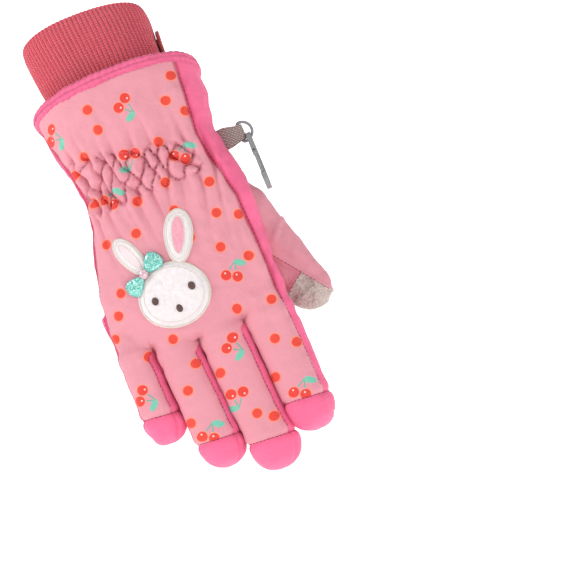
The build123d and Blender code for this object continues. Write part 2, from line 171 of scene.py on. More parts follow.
def grid_faces(rows, columns):
    """Quads of a tube of points stored ring by ring."""
    faces = []
    for start in range(0, (rows - 1) * columns, columns):
        for c in range(columns):
            after = (c + 1) % columns
            faces.append((start + c, start + after, start + columns + after, start + columns + c))
    return faces


def tube_between(rings, material, name="tube"):
    """Tube through rings of points; both ends are closed with a fan."""
    rings = np.array(rings)
    rows, columns = rings.shape[:2]
    verts = rings.reshape(-1, 3).tolist()
    faces = grid_faces(rows, columns)
    for row, flip in ((0, True), (rows - 1, False)):
        verts.append(rings[row].mean(axis=0).tolist())
        middle = len(verts) - 1
        for c in range(columns):
            a, b = row * columns + c, row * columns + (c + 1) % columns
            faces.append((middle, b, a) if flip else (middle, a, b))
    return new_object(name, verts, faces, material)


# ---------------------------------------------------------------- materials
class Nodes:
    """Small wrapper that adds nodes to a material and links them by name."""

    def __init__(self, name):
        self.material = bpy.data.materials.new(name)
        self.material.use_nodes = True
        self.tree = self.material.node_tree
        self.shader = self.tree.nodes["Principled BSDF"]

    def add(self, kind, inputs=None, **settings):
        node = self.tree.nodes.new(kind)
        for key, value in settings.items():
            setattr(node, key, value)
        for key, value in (inputs or {}).items():
            self.put(node.inputs[key], value)
        return node

    def put(self, socket, value):
        if hasattr(value, "node"):
            self.tree.links.new(value, socket)
        else:
            socket.default_value = value

    def math(self, operation, a, b=0.0, c=0.0):
        return self.add("ShaderNodeMath", {0: a, 1: b, 2: c}, operation=operation).outputs[0]

    def mix(self, factor, a, b):
        node = self.add("ShaderNodeMix", data_type="RGBA")
        self.put(node.inputs["Factor"], factor)
        self.put(node.inputs["A"], a if hasattr(a, "node") else (*a, 1.0))
        self.put(node.inputs["B"], b if hasattr(b, "node") else (*b, 1.0))
        return node.outputs["Result"]

    def step(self, value, edge, soft):
        """1 below the edge and 0 above it, with a soft border."""
        node = self.add("ShaderNodeMapRange", interpolation_type="SMOOTHSTEP")
        limits = {"From Min": edge - soft, "From Max": edge + soft, "To Min": 1.0, "To Max": 0.0}
        for key, number in limits.items():
            node.inputs[key].default_value = number
        self.put(node.inputs["Value"], value)
        return node.outputs[0]

    def cloth(self):
        """Cloth coordinates in millimetres."""
        return self.in_millimetres(self.add("ShaderNodeUVMap", uv_map="cloth").outputs[0])

    def rest(self):
        """Object coordinates in millimetres, for pieces that never bend."""
        return self.in_millimetres(self.add("ShaderNodeTexCoord").outputs["Object"])

    def in_millimetres(self, metres):
        inputs = {0: metres, 1: (1000.0, 1000.0, 1000.0)}
        return self.add("ShaderNodeVectorMath", inputs, operation="MULTIPLY").outputs[0]

    def noise(self, vector, size, detail=3.0):
        inputs = {"Vector": vector, "Scale": 1.0 / size, "Detail": detail}
        return self.add("ShaderNodeTexNoise", inputs).outputs[0]

    def wave(self, vector, size, direction="X"):
        """Bands of a given width in millimetres."""
        node = self.add("ShaderNodeTexWave", {"Vector": vector}, bands_direction=direction)
        node.inputs["Scale"].default_value = 0.314 / size
        return node.outputs["Fac"]

    def bump(self, height, distance, normal=None):
        node = self.add("ShaderNodeBump", {"Height": height})
        node.inputs["Distance"].default_value = distance * MM
        node.inputs["Strength"].default_value = 1.0
        if normal is not None:
            self.put(node.inputs["Normal"], normal)
        return node.outputs[0]

    def shaded_in_folds(self, colour, tint):
        """Colour with painted shade: deepened towards its product with the tint inside folds and seams."""
        depth = self.add("ShaderNodeAttribute", attribute_name="painted_shade").outputs["Fac"]
        node = self.add("ShaderNodeMix", data_type="RGBA", blend_type="MULTIPLY")
        self.put(node.inputs["Factor"], depth)
        self.put(node.inputs["A"], colour)
        self.put(node.inputs["B"], (*tint, 1.0))
        return node.outputs["Result"]

    def finish(self, colour, roughness=0.8, sheen=0.3, normal=None, metallic=0.0, specular=0.3):
        if not hasattr(colour, "node"):
            colour = (*colour, 1.0)
        self.put(self.shader.inputs["Base Color"], colour)
        self.put(self.shader.inputs["Roughness"], roughness)
        self.shader.inputs["Sheen Weight"].default_value = sheen
        self.shader.inputs["Sheen Roughness"].default_value = 0.5
        self.shader.inputs["Metallic"].default_value = metallic
        self.shader.inputs["Specular IOR Level"].default_value = specular
        if normal is not None:
            self.put(self.shader.inputs["Normal"], normal)
        return self.material


def glowing(material, strength):
    """Gives a material white light of its own."""
    shader = material.node_tree.nodes["Principled BSDF"]
    shader.inputs["Emission Color"].default_value = (1, 1, 1, 1)
    shader.inputs["Emission Strength"].default_value = strength
    return material


def weave_height(n, vector, size):
    """Over-and-under plain weave."""
    warp = n.wave(vector, size, "X")
    weft = n.wave(vector, size, "Y")
    return n.math("MULTIPLY", warp, weft)


def woven(name, colour, thread=0.62, depth=0.16, roughness=0.62, sheen=0.12, vector=None):
    """Plain woven nylon in one colour, with slight unevenness and a painted highlight where its threads cross
    on top.
    """
    n = Nodes(name)
    place = n.cloth() if vector is None else getattr(n, vector)()
    weave = weave_height(n, place, thread)
    patchy = n.noise(place, 9.0)
    darker = tuple(0.80 * c for c in colour)
    lighter = tuple(min(1.0, 1.10 * c) for c in colour)
    base = n.mix(patchy, darker, lighter)
    # painted highlight: lighter where warp and weft both lie on top
    base = n.mix(n.math("MULTIPLY", weave, 0.35), base, tuple(min(1, 1.25 * c + 0.01) for c in colour))
    crumple = n.bump(n.noise(place, 3.2, 5.0), 0.5)
    return n.finish(n.shaded_in_folds(base, FOLD_SHADE_TINT), roughness, sheen, n.bump(weave, depth, crumple))


# printed dots, as x and z
DOTS = (
    (20, -43), (-13, -44), (10, -59), (6, -77), (-24, -52), (-33, -57), (-9, -80), (24, -84),
    (22, -98), (5, -90), (-15, -93), (18, -113), (14, -141), (30, -143), (-32, -115), (-37, -124),
    (-18, -143), (-43, -133), (-20, -167), (25, -160), (33, -165), (-29, -72), (11, -192), (-32, -146),
    (26, -50), (31, -102), (26, -33), (-14, -34), (-30, -92), (28, -121), (7, -104), (-36, -178),
    (-13, -157), (19, -176), (-3, -165), (-24, -181), (5, -188),
)
# printed pairs of cherries, as x, z and the turn in degrees
CHERRIES = (
    (1.5, -37, 150), (-4, -59, 200), (16, -69, 40), (-22, -75, 52), (17.5, -127, 33), (5, -154, 144),
    (0.5, -176, 196), (-19.5, -190, 36), (26, -187, 38), (-41, -161, 130), (-35, -36, 130),
)


def cherry_group():
    """Node group: how far a cloth point is inside the fruit, stalks, leaf and highlight of one pair."""
    group = bpy.data.node_groups.new("cherry_pair", "ShaderNodeTree")
    face = group.interface
    for label, kind in (("Cloth", "Vector"), ("Place", "Vector"), ("Turn", "Float")):
        face.new_socket(label, in_out="INPUT", socket_type="NodeSocket" + kind)
    for label in ("Fruit", "Stalk", "Leaf", "Glint"):
        face.new_socket(label, in_out="OUTPUT", socket_type="NodeSocketFloat")
    nodes, links = group.nodes, group.links
    source, sink = nodes.new("NodeGroupInput"), nodes.new("NodeGroupOutput")

    def made(kind, operation, a, b):
        node = nodes.new(kind)
        node.operation = operation
        for socket, value in zip(node.inputs, (a, b)):
            if hasattr(value, "node"):
                links.new(value, socket)
            else:
                socket.default_value = value
        return node.outputs

    def vector(operation, a, b=(0, 0, 0)):
        outputs = made("ShaderNodeVectorMath", operation, a, b)
        return outputs["Value"] if operation in ("LENGTH", "DISTANCE") else outputs[0]

    def number(operation, a, b=0.0):
        return made("ShaderNodeMath", operation, a, b)[0]

    turn = nodes.new("ShaderNodeVectorRotate")
    turn.rotation_type = "Z_AXIS"
    links.new(vector("SUBTRACT", source.outputs["Cloth"], source.outputs["Place"]), turn.inputs["Vector"])
    links.new(source.outputs["Turn"], turn.inputs["Angle"])
    local = turn.outputs[0]
    left, right = (-2.5, 0, 0), (2.6, 0.5, 0)
    fruit = number("MINIMUM", vector("DISTANCE", local, left), vector("DISTANCE", local, right))
    links.new(fruit, sink.inputs["Fruit"])
    glints = [vector("DISTANCE", local, place) for place in ((-3.1, 0.8, 0), (2.0, 1.3, 0))]
    glint = number("MINIMUM", *glints)
    links.new(glint, sink.inputs["Glint"])
    squeezed = vector("MULTIPLY", vector("SUBTRACT", local, (2.4, 7.0, 0)), (0.62, 1.15, 1))
    links.new(vector("LENGTH", squeezed), sink.inputs["Leaf"])
    parts = nodes.new("ShaderNodeSeparateXYZ")
    links.new(local, parts.inputs[0])
    x, y = parts.outputs[0], parts.outputs[1]
    spread = number("MULTIPLY", number("SUBTRACT", 7.0, y), 0.36)
    away = number("ABSOLUTE", number("SUBTRACT", number("ABSOLUTE", x), spread))
    outside = number("MAXIMUM", number("SUBTRACT", y, 7.0), number("SUBTRACT", 1.2, y))
    links.new(number("MAXIMUM", away, outside), sink.inputs["Stalk"])
    return group


def printed_cloth():
    """Pale pink woven cloth with printed dots and cherries."""
    n = Nodes("printed_cloth")
    place = n.cloth()
    group = cherry_group()
    dots = None
    for x, z in DOTS:
        away = n.add("ShaderNodeVectorMath", {0: place, 1: (x, z, 0)}, operation="DISTANCE").outputs["Value"]
        dots = away if dots is None else n.math("MINIMUM", dots, away)
    found = {}
    for x, z, turn in CHERRIES:
        pair = n.add("ShaderNodeGroup", node_tree=group)
        n.put(pair.inputs["Cloth"], place)
        pair.inputs["Place"].default_value = (x, z, 0)
        pair.inputs["Turn"].default_value = radians(turn)
        for label in ("Fruit", "Stalk", "Leaf", "Glint"):
            out = pair.outputs[label]
            found[label] = n.math("MINIMUM", found[label], out) if label in found else out
    weave = weave_height(n, place, 0.6)
    base = n.mix(n.noise(place, 12.0), tuple(0.93 * c for c in PALE), tuple(min(1, 1.06 * c) for c in PALE))
    base = n.mix(n.step(dots, 2.75, 0.35), base, (0.90, 0.27, 0.19))
    base = n.mix(n.step(dots, 2.15, 0.22), base, (0.78, 0.045, 0.022))
    base = n.mix(n.step(found["Stalk"], 0.33, 0.16), base, (0.12, 0.42, 0.32))
    base = n.mix(n.step(found["Leaf"], 1.65, 0.2), base, (0.16, 0.55, 0.40))
    base = n.mix(n.step(found["Fruit"], 2.75, 0.3), base, (0.90, 0.29, 0.22))
    base = n.mix(n.step(found["Fruit"], 2.3, 0.2), base, (0.76, 0.035, 0.02))
    base = n.mix(n.step(found["Glint"], 0.38, 0.15), base, (0.95, 0.72, 0.68))
    # painted highlight: lighter where warp and weft both lie on top
    base = n.mix(n.math("MULTIPLY", weave, 0.10), base, (0.96, 0.72, 0.74))
    crumple = n.bump(n.noise(place, 3.5, 5.0), 0.5)
    return n.finish(n.shaded_in_folds(base, FOLD_SHADE_TINT), 0.66, 0.12, n.bump(weave, 0.14, crumple))


def knitted(name, colour, stitch_shade, vector="cloth"):
    """Rib knit: small stitches along each rib, with painted shade in the hollows between them and random fuzz
    tone.
    """
    n = Nodes(name)
    place = getattr(n, vector)()
    stitches = n.wave(place, 1.25, "Y")
    across = n.wave(place, 0.7, "X")
    height = n.math("MULTIPLY", stitches, across)
    fuzz = n.noise(place, 0.35, 2.0)
    # painted shade: the stitches' hollows take the darker colour, mixed with random fuzz tone
    base = n.mix(n.math("ADD", n.math("MULTIPLY", height, 0.7), n.math("MULTIPLY", fuzz, 0.3)), stitch_shade, colour)
    return n.finish(base, 0.95, 0.5, n.bump(height, 0.35, n.bump(fuzz, 0.15)))


def plush(name, colour, shade, pile=0.7, depth=0.9):
    """Short clumped pile, darker where the pile is low: painted shade."""
    n = Nodes(name)
    place = n.rest()
    clumps = n.noise(place, pile * 2.6, 4.0)
    hairs = n.noise(place, pile * 0.45, 3.0)
    height = n.math("ADD", n.math("MULTIPLY", clumps, 0.7), n.math("MULTIPLY", hairs, 0.5))
    # painted shade: low parts of the pile take the shade colour
    base = n.mix(height, shade, colour)
    return n.finish(base, 1.0, 0.6, n.bump(height, depth))


def glitter(name, colour, painted_glint):
    """Glitter film: flat flakes that each face their own way, the brightest painted near white as glints."""
    n = Nodes(name)
    place = n.rest()
    flakes = n.add("ShaderNodeTexVoronoi", {"Vector": place, "Scale": 2.2})
    tone = n.add("ShaderNodeSeparateColor", {0: flakes.outputs["Color"]}).outputs[0]
    # painted highlight: random flakes take the near-white glint colour
    base = n.mix(n.math("POWER", tone, 2.5), colour, painted_glint)
    return n.finish(base, 0.32, 0.0, n.bump(tone, 0.35), metallic=0.35, specular=0.6)


def embroidery(name, colour, light):
    """Satin stitch threads side by side, lighter along each thread's ridge: painted highlight."""
    n = Nodes(name)
    place = n.rest()
    threads = n.wave(place, 0.32, "DIAGONAL")
    # painted highlight: the ridge of each thread takes the lighter colour
    return n.finish(n.mix(threads, colour, light), 0.42, 0.2, n.bump(threads, 0.16), specular=0.5)


def textured_grip(name):
    """Grey-beige grip cloth with fine raised grains, darker between them and lighter on them: painted shade
    and highlight.
    """
    n = Nodes(name)
    place = n.cloth()
    cells = n.add("ShaderNodeTexVoronoi", {"Vector": place, "Scale": 0.95})
    grain = n.math("SUBTRACT", 0.8, cells.outputs["Distance"])
    # painted shade and highlight: the gaps between grains are dark and their tops light
    base = n.mix(grain, (0.36, 0.29, 0.26), (0.66, 0.56, 0.51))
    return n.finish(base, 0.7, 0.15, n.bump(grain, 0.3))


def webbing(name):
    """Woven tape with a herringbone of thick yarns, darker in their hollows and lighter on their tops:
    painted shade and highlight.
    """
    n = Nodes(name)
    place = n.rest()
    yarns = n.wave(place, 0.8, "DIAGONAL")
    cross = n.wave(place, 0.9, "Z")
    height = n.math("MULTIPLY", yarns, cross)
    # painted shade and highlight: dark in the yarns' hollows and light on their tops
    base = n.mix(height, (0.24, 0.18, 0.165), (0.62, 0.50, 0.46))
    return n.finish(base, 0.8, 0.3, n.bump(height, 0.3))


def plastic(name, colour):
    n = Nodes(name)
    place = n.rest()
    base = n.mix(n.noise(place, 2.0), tuple(0.85 * c for c in colour), tuple(1.1 * c for c in colour))
    return n.finish(base, 0.33, 0.0, n.bump(n.noise(place, 0.5), 0.03), specular=0.5)


def metal(name):
    n = Nodes(name)
    place = n.rest()
    return n.finish((0.45, 0.45, 0.47), 0.3, 0.0, n.bump(n.noise(place, 0.3), 0.02), metallic=1.0)


M = {
    "print": printed_cloth(),
    "hot": woven("hot_pink_cloth", HOT),
    "pale": woven("pale_pink_cloth", PALE),
    "seam": woven("seam_thread", (0.40, 0.022, 0.075), thread=0.3, vector="rest"),
    "thread": woven("pink_thread", (0.80, 0.20, 0.32), thread=0.3, vector="rest"),
    "knit": knitted("rib_knit", CORAL, (0.56, 0.05, 0.085)),
    "knit_dark": knitted("knit_inside", (0.22, 0.03, 0.05), (0.10, 0.012, 0.02)),
    "lining": plush("brushed_lining", (0.66, 0.60, 0.63), (0.42, 0.36, 0.40), 1.0, 0.4),
    "red_tab": knitted("red_rib", (0.66, 0.05, 0.07), (0.38, 0.02, 0.03), "rest"),
    "plush": plush("white_plush", (0.93, 0.89, 0.90), (0.72, 0.62, 0.64)),
    "cream": embroidery("cream_edging", (0.62, 0.52, 0.44), (0.92, 0.86, 0.78)),
    "ear": plush("ear_felt", (0.88, 0.42, 0.50), (0.66, 0.24, 0.33), 0.5, 0.4),
    "ear_pale": plush("pale_ear_felt", (0.93, 0.74, 0.76), (0.80, 0.56, 0.60), 0.5, 0.4),
    "brown": embroidery("brown_satin", (0.045, 0.018, 0.014), (0.14, 0.06, 0.045)),
    "teal": glitter("teal_glitter", (0.09, 0.52, 0.44), (0.70, 0.97, 0.90)),
    "knot": glitter("silver_pink_glitter", (0.62, 0.36, 0.42), (0.95, 0.82, 0.85)),
    "grip": textured_grip("grip_cloth"),
    "webbing": webbing("grey_webbing"),
    "plastic": plastic("grey_plastic", (0.25, 0.25, 0.26)),
    "metal": metal("satin_steel"),
}


# ---------------------------------------------------------------- hand and fingers as one skin
HIDDEN_LAYERS = (
    "gauntlet_wadding", "gauntlet_lining", "hand_wadding", "hand_lining", "finger_root_wadding",
    "fourchette_webs",
)


def superellipse(a, b, count, power=2.35):
    """Points of a rounded outline, anticlockwise seen from above."""
    t = np.linspace(0, 2 * pi, count, endpoint=False)
    c, s = np.cos(t), np.sin(t)
    return np.sign(c) * np.abs(c) ** (2 / power) * a, np.sign(s) * np.abs(s) ** (2 / power) * b


def hand_rings():
    rings = []
    for z in np.arange(-21, -147.5, -3.0):
        cx, a, cy, b = station(z)
        x, y = superellipse(a, b, 96)
        lean = 0.9 * np.tan(LEAN) * smooth((z + 70) / 40)
        lift = curve_at(BAG_LIFT, cx + x) * smooth((-112 - z) / 36)
        rings.append(np.stack([cx + x, cy + y, z - lean * y + lift], axis=1))
    cx, a, cy, b = station(-147)
    for k, shrink in enumerate((0.93, 0.8, 0.55)):
        x, y = superellipse(a * (1 - 0.03 * k), b * shrink, 96)
        rings.append(np.stack([cx + x, cy + y, curve_at(BAG_LIFT, cx + x) - 148.0 - 0.8 * k], axis=1))
    return rings


def finger_axis(name, along):
    x, z, slant = FINGERS[name][:3]
    a = radians(slant)
    return np.array((x + along * sin(a), HAND_Y, z - along * cos(a)))


def bend_at_wrist(made):
    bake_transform(made)


def bend_at_finger(made, name):
    finger_axis(name, 0.0) * MM
    finger_axis(name, 17.0) * MM
    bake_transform(made)


def bend_at_thumb(made):
    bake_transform(made)


def finger_rings(name):
    """Rings of one finger, a little flattened, with a rounded tip that droops towards the palm."""
    a0, a1, b, length = FINGERS[name][3:7]
    dome = length - TIP_RADIUS
    rings = []
    stops = [*np.arange(-20, dome, 2.5), *(dome + TIP_RADIUS * sin(k * pi / 24) for k in range(12))]
    for along in stops:
        into = max(0.0, along - dome) / TIP_RADIUS
        shrink = max(0.12, (1 - into**2.2) ** (1 / 2.2)) if into < 1 else 0.12
        a = (a0 + (a1 - a0) * max(0, along) / length) * shrink
        dx, dy = superellipse(a, b * shrink * (0.82 if along < -8 else 1.0), 48, 2.2)
        centre = finger_axis(name, along) + np.array((0, DROOP * max(0, along / length) ** 2, 0))
        rings.append(np.stack([centre[0] + dx, centre[1] + dy, np.full(48, centre[2])], axis=1))
    return rings


def remeshed(objects, voxel, smoothing):
    """Joins closed shapes into one even mesh and returns its points and triangles in millimetres."""
    bpy.ops.object.select_all(action="DESELECT")
    for made in objects:
        made.select_set(True)
    bpy.context.view_layer.objects.active = objects[0]
    if len(objects) > 1:
        bpy.ops.object.join()
    joined = bpy.context.view_layer.objects.active
    fuse = joined.modifiers.new("fuse", "REMESH")
    fuse.mode = "VOXEL"
    fuse.voxel_size = voxel * MM
    relax = joined.modifiers.new("relax", "SMOOTH")
    relax.factor = 0.5
    relax.iterations = smoothing
    triangles = joined.modifiers.new("triangles", "TRIANGULATE")
    triangles.quad_method = "SHORTEST_DIAGONAL"
    apply_modifiers(joined)
    verts = np.empty(3 * len(joined.data.vertices))
    joined.data.vertices.foreach_get("co", verts)
    tris = np.empty(3 * len(joined.data.polygons), int)
    joined.data.polygons.foreach_get("vertices", tris)
    bpy.data.objects.remove(joined)
    return verts.reshape(-1, 3) / MM, tris.reshape(-1, 3)


def vertex_normals(verts, tris):
    corner = verts[tris]
    face = np.cross(corner[:, 1] - corner[:, 0], corner[:, 2] - corner[:, 0])
    total = np.zeros_like(verts)
    for k in range(3):
        np.add.at(total, tris[:, k], face)
    return total / np.maximum(np.linalg.norm(total, axis=1, keepdims=True), 1e-9)


def cut_mesh(verts, tris, field, extra):
    """Splits triangles along field = 0, so that pieces part on a clean line.

    extra holds arrays with one value for each point, which are carried along.
    """
    sign = field > 0
    mixed = (sign[tris].any(axis=1)) & (~sign[tris].all(axis=1))
    keep, cut = tris[~mixed], tris[mixed]
    ring = sign[cut]
    alone = np.where(ring.sum(axis=1) == 1, ring.argmax(axis=1), (~ring).argmax(axis=1))
    a = cut[np.arange(len(cut)), alone]
    b = cut[np.arange(len(cut)), (alone + 1) % 3]
    c = cut[np.arange(len(cut)), (alone + 2) % 3]
    edges = np.sort(np.concatenate([np.stack([a, b], 1), np.stack([a, c], 1)]), axis=1)
    unique, inverse = np.unique(edges, axis=0, return_inverse=True)
    inverse = inverse.ravel()
    share = field[unique[:, 0]] / (field[unique[:, 0]] - field[unique[:, 1]])
    first = len(verts)

    def between(values):
        w = share.reshape(-1, *([1] * (values.ndim - 1)))
        return np.concatenate([values, values[unique[:, 0]] * (1 - w) + values[unique[:, 1]] * w])

    verts, field = between(verts), between(field)
    field[first:] = 0.0
    extra = [between(values) for values in extra]
    ab, ac = first + inverse[: len(cut)], first + inverse[len(cut):]
    made = [keep, np.stack([a, ab, ac], 1), np.stack([ab, b, c], 1), np.stack([ab, c, ac], 1)]
    return verts, np.concatenate(made), extra


def groove(distance, depth=1.0, width=1.1):
    """Height of a sewn seam: pulled in on the line, with the cloth puffed up beside it."""
    d = np.abs(distance)
    return -depth * np.exp(-((d / width) ** 2)) + 0.35 * depth * np.exp(-(((d - 3.2) / 2.2) ** 2))


def finger_fields(verts, name):
    """Angle round a finger from the middle of its back, its signed side and the distance below the crotch."""
    x, z, slant, a0, _, b = FINGERS[name][:6]
    slope = sin(radians(slant))
    along = (z - verts[:, 2]) + (verts[:, 0] - x) * slope
    dx = verts[:, 0] - (x + along * slope)
    above = HAND_Y + DROOP * np.clip(along / 60, 0, 1) ** 2 - verts[:, 1]
    return np.degrees(np.arctan2(np.abs(dx) / a0, above / b)), dx, along


def web_limits(verts, name, dx):
    """Angles at which a finger's back ends and its palm begins; they close up at the crotch."""
    low, high = WEB_TOP[name]
    top = np.where(dx > 0, high, low)
    closing = smooth((verts[:, 2] - (top - 6.0)) / 6.0)
    outer = ((name == "index") & (dx > 0)) | ((name == "little") & (dx < 0))
    back = np.where(dx > 0, 50.0, 76.0) + np.where(outer, np.where(dx > 0, 12.0, -4.0), 40.0 * closing)
    palm = 128.0 - np.where(outer, 8.0, 38.0 * closing)
    return back, palm


def beyond_slit(p, line):
    """How far points lie past the slit between two fingers, towards the thumb."""
    start, drift = line
    return p[:, 0] - start - drift * np.clip(CUT_Z - 5 - p[:, 2], 0, None)


def finger_number(p):
    """0 for points on the little finger's side of every slit, up to 3 for the index finger's."""
    return sum((beyond_slit(p, line) > 0).astype(int) for line in SLITS)


def finger_sides(p, name):
    """Fields that are zero where a finger's back ends and its palm begins, positive towards the palm."""
    angle, dx, _ = finger_fields(p, name)
    back, palm = web_limits(p, name, dx)
    past_back, past_palm = angle - back, angle - palm
    if name in ("index", "little"):
        side = 1 if name == "index" else -1
        seam = curve_at(THUMB_SEAM if name == "index" else LITTLE_SEAM, p[:, 2])
        beyond = side * (p[:, 0] - seam) * 5
        outer, front = side * dx > 0, angle < 90
        past_back = np.where(outer, np.where(front, beyond, 50.0), past_back)
        past_palm = np.where(outer, np.where(front, -50.0, -beyond), past_palm)
    return past_back, past_palm


def cap_field(p, name):
    """Zero on the seam of a finger's cap and positive on the cap."""
    _, dx, along = finger_fields(p, name)
    length, cap = FINGERS[name][6:]
    return along - (length - cap) - 0.10 * dx


def grip_field(p):
    """Signed distance from the rounded outline of the grip patch on the palm; negative on the patch."""
    over_x = np.maximum(np.abs(p[:, 0] + 2.0) - 15.0, 0)
    over_z = np.maximum(np.abs(p[:, 2] + 114.0) - 14.0, 0)
    return np.where(p[:, 1] > -10.0, np.hypot(over_x, over_z) - 5.0, 30.0)


def smocked_band(x):
    """Heights of the smocking's top and bottom edge at x."""
    across = np.clip((x + 36.0) / 58.0, 0, 1)
    return -51.0 - 13.0 * across, -77.0 - 1.0 * across


def gathers(verts, normals):
    """Height of the wrist's elastic smocking and of the folds that fan out from it, and the painted shade in
    their creases.
    """
    x, z = verts[:, 0], verts[:, 2]
    facing = smooth((-normals[:, 1] - 0.15) / 0.45)
    top, low = smocked_band(x)
    row = (z - low) / (top - low) * 1.5
    inside = smooth((row + 0.2) / 0.25) * smooth((1.7 - row) / 0.25) * smooth((25.0 - x) / 3.0)
    step = x / 7.2 + 0.42 * fractal(verts, 12.0, 4.0, 2)
    row = row + 0.3 * fractal(verts, 8.0, 14.0, 2)
    diamonds = np.abs(np.sin(pi * (step + row)) * np.sin(pi * (step - row))) ** 0.5
    depth = 1 + 0.5 * fractal(verts, 10.0, 25.0, 2)
    height = inside * (4.3 * diamonds - 2.8) * depth
    # painted shade in the smocking's creases, where its diamonds sink
    painted_shade = inside * np.clip(1.2 - 2.8 * diamonds, 0, 1)
    below = np.clip(low - z, 0, None)
    above = np.clip(z - top, 0, None)
    fan = x + 0.12 * below * np.sign(x) + 2.4 * fractal(verts * np.array((1, 1, 0.3)), 14.0, 9.0, 2)
    folds = np.sin(2 * pi * fan / 7.4) + 0.5 * np.sin(2 * pi * fan / 4.3 + 1.0)
    fading = np.where(below > 0, np.exp(-below / 13.0), np.exp(-above / 6.5))
    height += (1 - inside) * 0.85 * folds * fading
    # painted shade in the troughs of the folds below and above the smocking
    painted_shade += (1 - inside) * 0.6 * np.clip(-folds - 0.5, 0, 1) * fading
    edge = facing * smooth((35.5 - np.abs(x)) / 5.0)
    return height * edge, painted_shade * edge


def glove_skin():
    """Points and triangles of the hand and its four fingers, and what cut_mesh carries along:
    the points before displacement, the cloth coordinates of panels and sides, and the painted shade in folds
    and seams."""
    parts = [tube_between(hand_rings(), M["pale"], "bag")]
    parts += [tube_between(finger_rings(name), M["pale"], name) for name in FINGERS]
    verts, tris = remeshed(parts, VOXEL, 9)
    normals = vertex_normals(verts, tris)
    x, z = verts[:, 0], verts[:, 2]
    in_hand = smooth((z - (CUT_Z - 4)) / 6)
    height = in_hand * groove(x - curve_at(THUMB_SEAM, z), 1.0)
    height += in_hand * groove(x - curve_at(LITTLE_SEAM, z), 0.9)
    height += groove(grip_field(verts), 0.5, 0.8)
    owner = finger_number(verts)
    for number, name in enumerate(("little", "ring_finger", "middle", "index")):
        mine = (owner == number) & (z < CUT_Z + 3)
        angle, dx, along = finger_fields(verts[mine], name)
        past_back, past_palm = finger_sides(verts[mine], name)
        a, length = FINGERS[name][3], FINGERS[name][6]
        on_web = 1 - in_hand[mine]
        height[mine] += on_web * groove(past_back * a / 57.3, 0.75, 0.8)
        height[mine] += on_web * groove(past_palm * a / 57.3, 0.6, 0.8)
        height[mine] += on_web * groove(cap_field(verts[mine], name), 0.9, 0.9)
        height[mine] += on_web * smooth((along + 2.5) / 4.0)
        for knuckle, deep in ((7.0, 0.35), (0.42 * length, 0.2)):
            fold = np.exp(-(((along - knuckle) / 1.8) ** 2)) * smooth((150 - angle) / 40)
            height[mine] -= on_web * deep * fold
    # painted shade, darker wherever seams and knuckle folds sink the cloth
    painted_shade = np.clip(-height / 0.8, 0, 1) * 0.8
    folded, shade = gathers(verts, normals)
    height += folded
    painted_shade = np.maximum(painted_shade, shade)
    calm = smooth((np.hypot((x + 9.5) / 22, (z + 118) / 26) - 0.9) / 0.5)
    quiet = (0.35 + 0.65 * calm) * (0.45 + 0.55 * in_hand)
    height += quiet * 1.6 * fractal(verts * np.array((1, 1, 0.75)), 17.0, 2.0, 3)
    height += (0.4 + 0.6 * in_hand) * 0.35 * fractal(verts, 4.5, 7.0, 2)
    height *= 0.1 + 0.9 * smooth((-2 - above_mouth(verts)) / 8)
    moved = verts + normals * height[:, None]
    flat = np.stack([x, z], axis=1)
    return moved, tris, [verts, flat, np.stack([verts[:, 1] + 0.35 * x, z], axis=1), painted_shade]


def above_mouth(p):
    """How far points lie above the leaning plane of the gauntlet's mouth."""
    return p[:, 2] - MOUTH_Z + np.tan(LEAN) * (p[:, 1] - MOUTH_Y)


def pick(name, verts, tris, chosen, cloth, material, painted_shade=None):
    """New object from the chosen triangles only, shaded as part of the whole mesh."""
    faces = tris[chosen]
    used, local = np.unique(faces, return_inverse=True)
    made = new_object(name, verts[used], local.reshape(-1, 3).tolist(), material)
    set_uv(made, cloth[used])
    # the painted shade of folds and seams goes along as a point attribute for the shader
    if painted_shade is not None:
        layer = made.data.attributes.new("painted_shade", "FLOAT", "POINT")
        layer.data.foreach_set("value", painted_shade[used].astype(np.float32))
    made.data.normals_split_custom_set_from_vertices(vertex_normals(verts, tris)[used].tolist())
    return made


